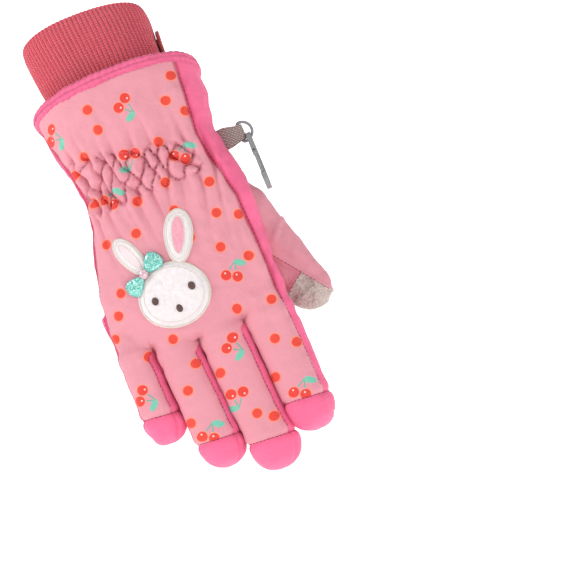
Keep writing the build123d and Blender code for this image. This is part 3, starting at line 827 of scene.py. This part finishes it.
def build_glove():
    """Cuts the skin into its sewn panels."""
    verts, tris, state = glove_skin()
    cuts = [
        above_mouth,
        lambda p: p[:, 2] - CUT_Z,
        lambda p: np.where(p[:, 2] > CUT_Z - 2, p[:, 0] - curve_at(THUMB_SEAM, p[:, 2]), 50.0),
        lambda p: np.where(p[:, 2] > CUT_Z - 2, p[:, 0] - curve_at(LITTLE_SEAM, p[:, 2]), 50.0),
        grip_field,
    ]
    for line in SLITS:
        cuts.append(lambda p, line=line: np.where(p[:, 2] < CUT_Z + 2, beyond_slit(p, line), 50.0))
    for name in FINGERS:
        cuts += [
            lambda p, name=name: np.where(owned(p, name), finger_sides(p, name)[0], -50.0),
            lambda p, name=name: np.where(owned(p, name), finger_sides(p, name)[1], -50.0),
            lambda p, name=name: np.where(owned(p, name), cap_field(p, name), -50.0),
        ]
    for field_of in cuts:
        verts, tris, state = cut_mesh(verts, tris, field_of(state[0]), state)
    middle = state[0][tris].mean(axis=1)
    flat, side_cloth, painted_shade = state[1:]
    hand = (middle[:, 2] > CUT_Z) & (above_mouth(middle) < 0)
    thumb_side = middle[:, 0] > curve_at(THUMB_SEAM, middle[:, 2])
    little_side = middle[:, 0] < curve_at(LITTLE_SEAM, middle[:, 2])
    front = middle[:, 1] < curve_at([(s[0], s[3]) for s in STATIONS], middle[:, 2])
    body = ~thumb_side & ~little_side
    patch = grip_field(middle) < 0
    palm_nodes = ("gauntlet_palm", "hand_palm", *HIDDEN_LAYERS)
    back_nodes = ("gauntlet_back", "hand_back", "wrist_elastic")
    side_nodes = ("gauntlet_side_panel", "hand_side_panel")
    edge_nodes = ("gauntlet_edge_panel", "hand_edge_panel")
    panels = (
        ("back_panel", hand & body & front, flat, "print", "print", back_nodes),
        ("palm_panel", hand & body & ~front & ~patch, flat, "pale", "pale_pink", palm_nodes),
        ("palm_patch", hand & body & ~front & patch, flat, "grip", "grip", ("palm_grip",)),
        ("thumb_side_panel", hand & thumb_side, side_cloth, "hot", "hot_pink", side_nodes),
        ("little_side_panel", hand & little_side, side_cloth, "hot", "hot_pink", edge_nodes),
    )
    for name, chosen, cloth, material, slot, nodes in panels:
        made = pick(name, verts, tris, chosen, cloth, M[material], painted_shade)
        bend_at_wrist(made)
        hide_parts(*nodes)
    for name in FINGERS:
        mine = (middle[:, 2] <= CUT_Z) & owned(middle, name)
        past_back, past_palm = finger_sides(middle, name)
        cap = cap_field(middle, name) > 0
        for part, chosen, cloth, material, slot in (
            ("back", mine & ~cap & (past_back < 0), flat, "print", "print"),
            ("fourchettes", mine & ~cap & (past_back >= 0) & (past_palm < 0), side_cloth, "hot", "hot_pink"),
            ("palm", mine & ~cap & (past_back >= 0) & (past_palm >= 0), flat, "pale", "pale_pink"),
            ("cap", mine & cap, flat, "hot", "hot_pink"),
        ):
            made = pick(f"{name}_{part}_skin", verts, tris, chosen, cloth, M[material], painted_shade)
            bend_at_finger(made, name)
            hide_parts(f"{name}_{part}")
            if part == "palm":
                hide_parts(f"{name}_wadding", f"{name}_lining")
    return BVHTree.FromPolygons(verts.tolist(), tris.tolist())


def owned(p, name):
    """Points between a finger's two slits."""
    number = ("little", "ring_finger", "middle", "index").index(name)
    return (finger_number(p) == number) & (p[:, 2] < CUT_Z + 2)


SKIN = build_glove()


# ---------------------------------------------------------------- thumb
def line_side(points, a, b):
    """Signed distance in x and z from the line through a and b, positive on the left of the way to b."""
    way = np.array(b, float) - np.array(a, float)
    way /= np.linalg.norm(way)
    dx, dz = points[:, 0] - a[0], points[:, 2] - a[1]
    return way[0] * dz - way[1] * dx


# half width of the thumb, along its length from 0 to 1
THUMB_WIDTH = ((0.0, 13.5), (0.3, 12.6), (0.55, 11.6), (0.8, 10.8), (1.0, 10.2))
# two seams of the thumb, each as x and z of two points on its line
GRIP_EDGE = ((46.5, -135.5), (37.5, -142.0))
THUMB_STITCH = ((36.0, -122.0), (57.5, -150.0))


def thumb_skin():
    """Even rings round the thumb's axis, with a domed tip."""
    axis = THUMB_TIP - THUMB_BASE
    length = np.linalg.norm(axis)
    way = axis / length
    across = np.cross((0, 1, 0), way)
    across /= -np.linalg.norm(across)
    depth = np.cross(way, across)
    depth *= np.sign(depth[1])
    rings = []
    dome = length - TIP_RADIUS
    stops = [*np.arange(4, dome, 1.2), *(dome + TIP_RADIUS * sin(k * pi / 32) for k in range(16))]
    for along in stops:
        into = max(0.0, along - dome) / TIP_RADIUS
        shrink = max(0.06, (1 - into**2.1) ** (1 / 2.1))
        shrink *= 0.55 + 0.45 * smooth((along - 2) / 20)
        a = np.interp(along / length, *zip(*THUMB_WIDTH)) * shrink
        b = (9.6 + 1.6 * max(0.0, 0.5 - along / length)) * shrink
        u, v = superellipse(a, b, 96, 2.2)
        rings.append(THUMB_BASE + way * along + u[:, None] * across + v[:, None] * depth)
    return rings


def build_thumb():
    """The thumb's skin with its seams and folds, cut into three panels."""
    closed = tube_between(thumb_skin(), M["pale"], "thumb_form")
    bpy.context.view_layer.update()
    triangles = closed.modifiers.new("triangles", "TRIANGULATE")
    triangles.quad_method = "SHORTEST_DIAGONAL"
    apply_modifiers(closed)
    rest = np.array([v.co for v in closed.data.vertices]) / MM
    tris = np.array([p.vertices for p in closed.data.polygons])
    bpy.data.objects.remove(closed)
    normals = vertex_normals(rest, tris)
    seam = line_side(rest, *THUMB_STITCH)
    grip = line_side(rest, *GRIP_EDGE)
    height = groove(seam, 0.9) * smooth((-116 - rest[:, 2]) / 8)
    height += groove(grip, 0.7) * smooth(-seam / 1.5)
    dart = line_side(rest, (48.0, -108.0), (41.4, -116.0))
    on_dart = smooth((rest[:, 2] + 118) / 3) * smooth((-105 - rest[:, 2]) / 3)
    height -= 0.8 * np.exp(-(dart**2)) * on_dart
    fold = line_side(rest, (52.0, -143.0), (42.0, -146.0))
    height -= 0.5 * np.exp(-((fold / 0.8) ** 2)) * smooth(-seam / 2.0)
    height += 1.1 * fractal(rest * np.array((1, 1, 0.7)), 15.0, 5.0) + 0.3 * fractal(rest, 4.0, 8.0, 2)
    verts = rest + normals * height[:, None]
    cloth = np.stack([rest[:, 0] + 0.4 * rest[:, 1], rest[:, 2]], axis=1)
    state = [rest, cloth]
    for field_of in (lambda p: line_side(p, *THUMB_STITCH), lambda p: line_side(p, *GRIP_EDGE)):
        verts, tris, state = cut_mesh(verts, tris, field_of(state[0]), state)
    middle = state[0][tris].mean(axis=1)
    inner = line_side(middle, *THUMB_STITCH) < 0
    tip = line_side(middle, *GRIP_EDGE) > 0
    outer_nodes = ("thumb_outer_panel", "thumb_wadding", "thumb_lining")
    for name, chosen, material, slot, nodes in (
        ("thumb_outer", ~inner, "pale", "pale_pink", outer_nodes),
        ("thumb_inner", inner & ~tip, "pale", "pale_pink", ("thumb_inner_panel",)),
        ("thumb_tip_grip", inner & tip, "grip", "grip", ("thumb_grip",)),
    ):
        made = pick(name, verts, tris, chosen, state[1], M[material])
        bend_at_thumb(made)
        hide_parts(*nodes)
    return BVHTree.FromPolygons(verts.tolist(), tris.tolist())


THUMB_SKIN = build_thumb()


# ---------------------------------------------------------------- seam threads
def unbroken(lines, longest=4.0):
    """Lines split wherever a point is missing or lies too far from the one before."""
    for line in lines:
        piece = []
        for point in [*line, None]:
            jump = piece and point is not None and np.linalg.norm(np.subtract(point, piece[-1])) > longest
            if point is None or jump:
                if len(piece) > 2:
                    yield np.array(piece)
                piece = []
            if point is not None:
                piece.append(point)


def stitch_mesh(name, lines, length, gap, radius, material):
    """Short threads laid one after the other along lines of points."""
    verts, faces = [], []
    for line in unbroken(lines):
        run = np.concatenate([[0], np.cumsum(np.linalg.norm(np.diff(line, axis=0), axis=1))])
        for start in np.arange(0.3, run[-1] - length, length + gap):
            places = np.linspace(start, start + length, 4)
            points = np.stack([np.interp(places, run, line[:, k]) for k in range(3)], axis=1)
            way = points[-1] - points[0]
            way /= np.linalg.norm(way)
            side = np.cross(way, (0.3, 0.9, 0.2))
            side /= np.linalg.norm(side)
            other = np.cross(way, side)
            first = len(verts)
            for point, fat in zip(points, (0.45, 1.0, 1.0, 0.45)):
                for k in range(6):
                    out = cos(k * pi / 3) * side + sin(k * pi / 3) * other
                    verts.append(point + out * radius * fat)
            faces += [[first + index for index in face] for face in grid_faces(4, 6)]
            faces += [[first + k for k in range(6)][::-1], [first + 18 + k for k in range(6)]]
    return new_object(name, verts, faces, M[material])


def on_back(x, z, proud=0.05, away=-1, skin=SKIN):
    """Point on the skin straight in from the back, or from the palm with away = 1."""
    hit = skin.ray_cast(Vector((x, away * 90, z)), Vector((0, -away, 0)))[0]
    return None if hit is None else (hit.x, hit.y + away * proud, hit.z)


def round_finger(name, along, angle, proud=0.05):
    """Point on a finger's skin at an angle from the middle of its back, positive towards the thumb."""
    a0, _, b = FINGERS[name][3:6]
    centre = finger_axis(name, along) + np.array((0, DROOP * min(1, max(0, along / 60)) ** 2, 0))
    t = radians(angle)
    way = Vector((a0 * sin(t), -b * cos(t), 0)).normalized()
    hit = SKIN.ray_cast(Vector(centre), way, 1.35 * a0)[0]
    return None if hit is None else tuple(hit + way * proud)


def finger_lines(name):
    """Seam lines of one finger: two on each side and one round its cap."""
    length, cap = FINGERS[name][6:]
    lines = []
    for side in (-1, 1):
        if (name, side) in (("index", 1), ("little", -1)):
            seam = THUMB_SEAM if side == 1 else LITTLE_SEAM
            heights = np.arange(CUT_Z, FINGERS[name][1] - length + cap, -1.5)
            lines += panel_lines(seam, heights)
            continue
        for which in (0, 1):
            line = []
            for along in np.arange(5.0, length - cap, 1.2):
                probe = finger_axis(name, along) + np.array((side * 5.0, 0, 0))
                limit = web_limits(probe[None, :], name, np.array([side * 5.0]))[which]
                line.append(round_finger(name, along, side * float(limit[0])))
            lines.append(line)
    turns = range(-175, 180, 6)
    lines.append([round_finger(name, length - cap + 0.9 * sin(radians(turn)), turn) for turn in turns])
    return lines


def panel_lines(seam, heights):
    """One seam of a side panel, on the back and on the palm."""
    return [[on_back(float(curve_at(seam, z)), z, away=away) for z in heights] for away in (-1, 1)]


def build_seams():
    """Threads of the panels' seams, the wrist's elastics, the fingers and the thumb."""
    heights = np.arange(MOUTH_Z - 2, CUT_Z, -1.5)
    lines = panel_lines(THUMB_SEAM, heights) + panel_lines(LITTLE_SEAM, heights)
    made = stitch_mesh("panel_seams", lines, 1.7, 0.35, 0.2, "seam")
    bend_at_wrist(made)
    rows = []
    for number in range(4):
        row = []
        for x in np.arange(-34, 23, 1.0):
            top, low = smocked_band(x)
            row.append(on_back(x, low + (top - low) * number / 3, 0.0))
        rows.append(row)
    made = stitch_mesh("elastic_threads", rows, 1.5, 0.9, 0.17, "thread")
    bend_at_wrist(made)
    for name in FINGERS:
        made = stitch_mesh(f"{name}_seams", finger_lines(name), 1.6, 0.35, 0.19, "seam")
        bend_at_finger(made, name)
    lines = []
    for (x0, z0), (x1, z1) in (THUMB_STITCH, GRIP_EDGE):
        shares = np.linspace(0, 1, 30)
        places = [(x0 + (x1 - x0) * share, z0 + (z1 - z0) * share) for share in shares]
        lines += [[on_back(x, z, away=side, skin=THUMB_SKIN) for x, z in places] for side in (-1, 1)]
    bend_at_thumb(stitch_mesh("thumb_seams", lines, 1.6, 0.35, 0.19, "seam"))


build_seams()


# ---------------------------------------------------------------- cuff, binding and lining
def even_outline(a, b, count, power=2.35):
    """Outline points at equal steps of its length, and the length up to each."""
    x, y = superellipse(a, b, 720, power)
    steps = np.hypot(np.diff(x, append=x[0]), np.diff(y, append=y[0]))
    run = np.concatenate([[0], np.cumsum(steps)])
    places = np.linspace(0, run[-1], count, endpoint=False)
    return np.interp(places, run, np.append(x, x[0])), np.interp(places, run, np.append(y, y[0])), places


def leaning(x, y, centre, z):
    """Points of a ring in the cuff's leaning plane."""
    return np.stack([centre[0] + x, centre[1] + y, z - np.tan(LEAN) * y], axis=1)


RIBS = 80
KNIT_TOP = 7.6
# z, half width and half thickness of the knitted cuff
KNIT = (
    (-60, 26.0, 13.0), (-40, 26.6, 17.2), (-28, 27.2, 18.6), (-14, 29.0, 19.8), (0, 30.3, 20.6),
    (4, 30.5, 20.4), (7.6, 30.1, 20.0),
)


def knit_ring(z, inset, rib_height, lift=0.0):
    a = curve_at([(k[0], k[1]) for k in KNIT], z) - inset
    b = curve_at([(k[0], k[2]) for k in KNIT], z) - inset
    x, y, run = even_outline(a, b, RIBS * 8)
    ribs = rib_height * (np.abs(np.sin(np.arange(RIBS * 8) * pi / 8)) ** 0.8 - 0.5)
    out = np.stack([x / a, y / b], axis=1)
    out /= np.linalg.norm(out, axis=1, keepdims=True)
    sag = 0.5 * np.sin(np.arange(RIBS * 8) * 6 * pi / (RIBS * 8) + z / 9.0)
    x, y = x + out[:, 0] * (ribs + sag), y + out[:, 1] * (ribs + sag)
    centre = (-2.8 - 3.7 * (1 - z / -40) if z > -40 else -2.8, 0.165 * z)
    return leaning(x, y, centre, z + lift), run


def build_knit():
    """Doubled rib cuff with a soft folded rim; the inside of the fold is coloured a much darker red than the
    outside.
    """
    rings, cloth = [], []
    steps = [(z, 0.0, 0.95, 0.0) for z in np.arange(-60, KNIT_TOP + 0.1, 1.25)]
    for k in range(1, 9):
        turn = k * pi / 8
        steps.append((KNIT_TOP, 1.5 * (1 - cos(turn)), 0.95 - 0.05 * k, 1.4 * sin(turn)))
    outer_rows = len(steps) - 3
    steps += [(z, 3.0, 0.4, 0.0) for z in np.arange(KNIT_TOP - 1.5, -60, -2.5)]
    for row, (z, inset, rib, lift) in enumerate(steps):
        ring, run = knit_ring(z, inset, rib, lift)
        rings.append(ring)
        cloth.append(np.stack([run, np.full_like(run, z if row < outer_rows else -z)], axis=1))
    verts = np.concatenate(rings)
    made = new_object("rib_cuff", verts, grid_faces(len(rings), RIBS * 8), M["knit"])
    made.data.materials.append(M["knit_dark"])
    inside = np.arange(len(made.data.polygons)) // (RIBS * 8) >= outer_rows
    made.data.polygons.foreach_set("material_index", inside.astype(int))
    set_uv(made, np.concatenate(cloth))
    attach(made, "gauntlet")
    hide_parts("knit_cuff", "cuff_inner_layer")


def build_pull_tab():
    """Ribbed tab lying against the knit at its thumb side, with rounded corners."""
    rings = []
    for z in np.arange(-40, -2.9, 1.5):
        narrow = 9.0 * max(0.0, 1 - (-3 - z) / 5) ** 2
        outer, inner = (knit_ring(z, inset, 0.0)[0] for inset in (-2.7, -1.3))
        middle = inner.mean(axis=0)
        angle = np.degrees(np.arctan2(inner[:, 1] - middle[1], inner[:, 0] - middle[0]))
        order = np.argsort(angle)
        order = order[(angle[order] > -4 + narrow) & (angle[order] < 34 - narrow)]
        picked = order[np.linspace(0, len(order) - 1, 14).astype(int)]
        rings.append(np.concatenate([outer[picked], inner[picked[::-1]]]))
    made = tube_between(rings, M["red_tab"], "pull_tab_strip")
    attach(made, "gauntlet")
    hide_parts("pull_tab")


BINDING_POINTS = 360  # round the mouth


def mouth_ring(inset, lift):
    """Ring in the mouth's leaning plane, set in from the gauntlet's outer face."""
    cx, a, cy, b = station(MOUTH_Z)
    x, y, run = even_outline(a - inset, b - inset, BINDING_POINTS)
    return leaning(x, y, (cx, cy), MOUTH_Z + lift), run


def build_binding():
    """Rolled binding with small puckers along its seam."""
    rings, cloth = [], []
    turns = 20
    for k in range(turns):
        angle = 2 * pi * k / turns
        ring, run = mouth_ring(1.6 - 2.9 * cos(angle), 1.8 + 3.1 * sin(angle))
        rings.append(ring)
        cloth.append(np.stack([run, np.full_like(run, 18.0 * k / turns)], axis=1))
    verts = np.concatenate(rings)
    centre = np.tile(np.mean(rings, axis=0), (turns, 1))
    out = verts - centre
    pucker = 0.16 * np.sin(np.tile(cloth[0][:, 0], turns) * 2 * pi / 3.4)
    pucker += 0.5 * fractal(centre, 11.0, 3.0, 2)
    verts = verts + out / np.linalg.norm(out, axis=1, keepdims=True) * pucker[:, None]
    faces = grid_faces(turns + 1, BINDING_POINTS)
    faces = [[index % len(verts) for index in face] for face in faces]
    made = new_object("mouth_binding", verts, faces, M["hot"])
    set_uv(made, np.concatenate(cloth))
    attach(made, "gauntlet")
    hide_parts("cuff_binding")


def build_lining():
    """Brushed lining inside the mouth, from the binding down to the knitted cuff."""
    rings, cloth = [], []
    for z in np.arange(MOUTH_Z, -62, -1.5):
        cx, a, cy, b = station(z)
        x, y, run = even_outline(a - 3.6, b - 3.6, 200)
        deep = -3.0 * fractal(np.stack([x, y, np.full_like(x, z)], axis=1), 9.0, 6.0, 2).clip(0, 1)
        scale = 1 + deep / 40
        rings.append(leaning(x * scale, y * scale, (cx, cy), z))
        cloth.append(np.stack([run, np.full_like(run, z)], axis=1))
    made = new_object("mouth_lining", np.concatenate(rings), grid_faces(len(rings), 200), M["lining"])
    set_uv(made, np.concatenate(cloth))
    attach(made, "gauntlet")


build_knit()
build_pull_tab()
build_binding()
build_lining()


# ---------------------------------------------------------------- rabbit patch
def back_y(x, z):
    """y of the back of the hand at a place, averaged so that a patch bridges small folds."""
    total = 0.0
    for dx, dz in ((0, 0), (2, 0), (-2, 0), (0, 2), (0, -2)):
        hit = SKIN.ray_cast(Vector((x + dx, -80, z + dz)), Vector((0, 1, 0)))[0]
        total += hit.y
    return total / 5


def ellipse_outline(a, b, taper=0.0):
    """Outline in its own x and up; taper narrows its lower end."""
    def at(angle):
        return a * cos(angle) * (1 + taper * sin(angle)), b * sin(angle)
    return at


def loop_outline(a, b):
    """Fan shape that is narrow at its inner end, at negative x."""
    def at(angle):
        x = a * cos(angle)
        return x, b * sin(angle) * (0.72 + 0.42 * x / a)
    return at


def build_patch(name, outline, x, z, turn, lift, rise, material, nodes, rough=0.12, edging=None):
    """Stuffed or felt shape sewn on the back of the hand. turn leans it towards the thumb, in degrees."""
    rings, columns = 14, 96
    t = radians(-turn)
    verts = []
    for r in range(rings + 1):
        share = 0.02 + 0.98 * min(1.0, r / (rings - 1))
        high = rise * (1 - share**5) ** 0.5 if r < rings else -0.6
        for c in range(columns):
            u, v = outline(2 * pi * c / columns)
            px = x + share * (u * cos(t) - v * sin(t))
            pz = z + share * (u * sin(t) + v * cos(t))
            verts.append((px, back_y(px, pz) - lift - high, pz))
    verts = np.array(verts)
    verts[:, 1] -= rough * fractal(verts, 1.6, 1.0, 2)
    faces = grid_faces(rings + 1, columns)
    faces.append(list(range(columns))[::-1])
    made = new_object(name, verts, faces, M[material])
    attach(made, "hand")
    if nodes:
        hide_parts(*nodes)
    if edging:
        rim = verts[(rings - 1) * columns: rings * columns]
        build_trim(name + "_edging", rim, edging)
        if rise > 1:
            row = verts[(rings - 3) * columns: (rings - 2) * columns]
            build_trim(name + "_stitching", row, 0.2)


def build_trim(name, path, radius):
    """Round cream trim along a closed line of points on the back of the hand."""
    curve = bpy.data.curves.new(name, "CURVE")
    curve.dimensions = "3D"
    curve.bevel_depth = radius * MM
    curve.bevel_resolution = 3
    line = curve.splines.new("POLY")
    line.points.add(len(path) - 1)
    for point, place in zip(line.points, path):
        point.co = (*(np.asarray(place) * MM), 1.0)
    line.use_cyclic_u = True
    guide = bpy.data.objects.new(name, curve)
    bpy.context.scene.collection.objects.link(guide)
    graph = bpy.context.evaluated_depsgraph_get()
    mesh = bpy.data.meshes.new_from_object(guide.evaluated_get(graph))
    bpy.data.objects.remove(guide)
    mesh.materials.clear()
    mesh.materials.append(M["cream"])
    mesh.polygons.foreach_set("use_smooth", [True] * len(mesh.polygons))
    made = bpy.data.objects.new(name, mesh)
    bpy.context.scene.collection.objects.link(made)
    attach(made, "hand")


def build_rabbit():
    head = ellipse_outline(16.2, 14.2, -0.04)
    build_patch("rabbit_right_ear", ellipse_outline(6.2, 12.0, 0.12), 2.4, -101.5, 20, 0.2, 1.3, "plush",
                ("rabbit_ears",), edging=0.55)
    build_patch("rabbit_left_ear", ellipse_outline(4.6, 10.6, 0.1), -21.4, -102.0, -24, 0.2, 1.2, "plush",
                (), edging=0.5)
    build_patch("right_ear_pad", ellipse_outline(2.9, 8.4, 0.12), 2.6, -101.0, 20, 1.5, 0.35, "ear",
                ("rabbit_inner_ears",), edging=0.3)
    build_patch("left_ear_pad", ellipse_outline(1.9, 7.0, 0.1), -21.5, -101.7, -24, 1.4, 0.3, "ear_pale",
                (), edging=0.25)
    build_patch("rabbit_head", head, -9.4, -124.8, 0, 0.3, 2.3, "plush", ("rabbit_face",),
                rough=0.3, edging=0.6)
    for name, x, z, a, b in (("right_eye", -0.3, -124.4, 1.65, 1.9), ("left_eye", -18.2, -124.8, 1.65, 1.9),
                             ("nose", -9.2, -131.6, 1.5, 1.9)):
        build_patch(name, ellipse_outline(a, b), x, z, 0, 2.4, 0.9, "brown",
                    ("rabbit_eyes_and_nose",) if name == "nose" else (), rough=0.0)
    build_patch("bow_right_loop", loop_outline(5.3, 5.4), -13.4, -108.4, -32, 1.6, 1.5, "teal",
                ("bow_loops",), rough=0.25)
    build_patch("bow_left_loop", loop_outline(5.3, 5.2), -23.4, -114.8, 148, 1.6, 1.5, "teal",
                (), rough=0.25)
    build_patch("bow_middle", ellipse_outline(2.2, 2.4), -18.4, -111.5, 0, 2.2, 1.6, "knot",
                ("bow_knot",))


build_rabbit()


# ---------------------------------------------------------------- clip on its tape
def build_tape():
    """Woven tape folded round the ring."""
    low, high = (np.array(corner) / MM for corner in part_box("webbing_loop"))
    y, z = (low[1] + high[1]) / 2, (low[2] + high[2]) / 2
    reach, half = high[0] - 1.75, 1.4
    path = [(x, half * smooth((x - low[0] + 3) / 6.0)) for x in np.linspace(low[0] - 2, reach, 14)]
    path += [(reach + half * sin(a), half * cos(a)) for a in np.linspace(0.2, pi - 0.2, 10)]
    path += [(x, -half * smooth((x - low[0] + 3) / 6.0)) for x in np.linspace(reach, low[0] - 2, 14)]
    path = np.array(path)
    way = np.gradient(path, axis=0)
    way /= np.linalg.norm(way, axis=1, keepdims=True)
    side = np.stack([way[:, 1], -way[:, 0]], axis=1)
    rings = []
    for (px, py), (nx, ny) in zip(path, side):
        wide = 5.1 - 1.5 * smooth((px - low[0]) / (reach - low[0]))
        ring = []
        for k in range(28):
            u, v = cos(2 * pi * k / 28), sin(2 * pi * k / 28)
            u = wide * np.sign(u) * min(1, abs(u) ** 0.35)
            v = 0.42 * np.sign(v) * abs(v) ** 0.6
            ring.append((px + nx * v, y + py + ny * v, z + u))
        rings.append(ring)
    made = tube_between(rings, M["webbing"], "tape_loop")
    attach(made, "gauntlet")
    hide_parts("webbing_loop")


build_tape()
for node, material in (("clip_ring", "plastic"), ("clip_hook", "plastic"), ("clip_gate", "plastic"),
                       ("gate_pin", "metal")):
    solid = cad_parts[node]
    solid.data.materials.clear()
    solid.data.materials.append(M[material])


# ---------------------------------------------------------------- camera, lights and floor
def add_camera():
    """Camera that sees the glove a little from the thumb's side and below."""
    data = bpy.data.cameras.new("camera")
    camera = bpy.data.objects.new("camera", data)
    bpy.context.scene.collection.objects.link(camera)
    target = Vector((0.040, -0.018, -0.144))
    distance, azimuth, elevation, roll = 0.66, radians(3), radians(-4), radians(22)
    way = Vector((sin(azimuth) * cos(elevation), -cos(azimuth) * cos(elevation), sin(elevation)))
    forward = -way
    right = forward.cross(Vector((0, 0, 1))).normalized()
    up = right.cross(forward)
    right, up = right * cos(roll) - up * sin(roll), right * sin(roll) + up * cos(roll)
    turn = Matrix((right, up, way)).transposed().to_4x4()
    camera.matrix_world = Matrix.Translation(target + way * distance) @ turn
    data.sensor_width = 36.0
    data.lens = 36.0 * distance / 0.2637
    data.clip_start = 0.01
    bpy.context.scene.camera = camera


def add_light(name, place, size, power, aim=(0.0, -0.01, -0.11)):
    data = bpy.data.lights.new(name, "AREA")
    data.size = size
    data.energy = power
    light = bpy.data.objects.new(name, data)
    light.location = place
    light.rotation_euler = (Vector(aim) - Vector(place)).to_track_quat("-Z", "Y").to_euler()
    bpy.context.scene.collection.objects.link(light)


def add_studio():
    """Pale floor below the fingertips, an even white surround and soft lamps."""
    n = Nodes("pale_floor")
    grain = n.noise(n.rest(), 30.0)
    floor_skin = n.finish(n.mix(grain, (0.93, 0.93, 0.93), (0.97, 0.97, 0.97)), 0.9, 0.0)
    size, floor_z = 3000.0, -275.0
    corners = [(x * size, y * size, floor_z) for x, y in ((-1, -1), (1, -1), (1, 1), (-1, 1))]
    floor = new_object("floor", corners, [(0, 1, 2, 3)], floor_skin)
    glowing(floor_skin, 0.7)
    bright = glowing(Nodes("white_backdrop").finish((1.0, 1.0, 1.0)), 1.0)
    far = 4000.0
    around = np.linspace(0, 2 * pi, 48)[:-1]
    rings = []
    for b in np.linspace(-1.4, 1.4, 15):
        rings.append([(far * cos(a) * cos(b), far * sin(a) * cos(b), far * sin(b)) for a in around])
    backdrop = tube_between(rings, bright, "backdrop")
    for ray in ("visible_diffuse", "visible_glossy", "visible_transmission", "visible_shadow"):
        setattr(backdrop, ray, False)
    world = bpy.data.worlds.new("surround")
    world.use_nodes = True
    background = world.node_tree.nodes["Background"]
    background.inputs["Color"].default_value = (1.0, 1.0, 1.0, 1.0)
    background.inputs["Strength"].default_value = 0.42
    bpy.context.scene.world = world
    add_light("key", (-0.62, -0.42, 0.42), 0.3, 4.7)
    add_light("fill", (0.7, -0.5, 0.1), 0.8, 2.2)
    add_light("back", (0.1, 0.8, 0.5), 0.8, 3.0)


add_camera()
add_studio()
bpy.context.scene.view_settings.view_transform = "Standard"
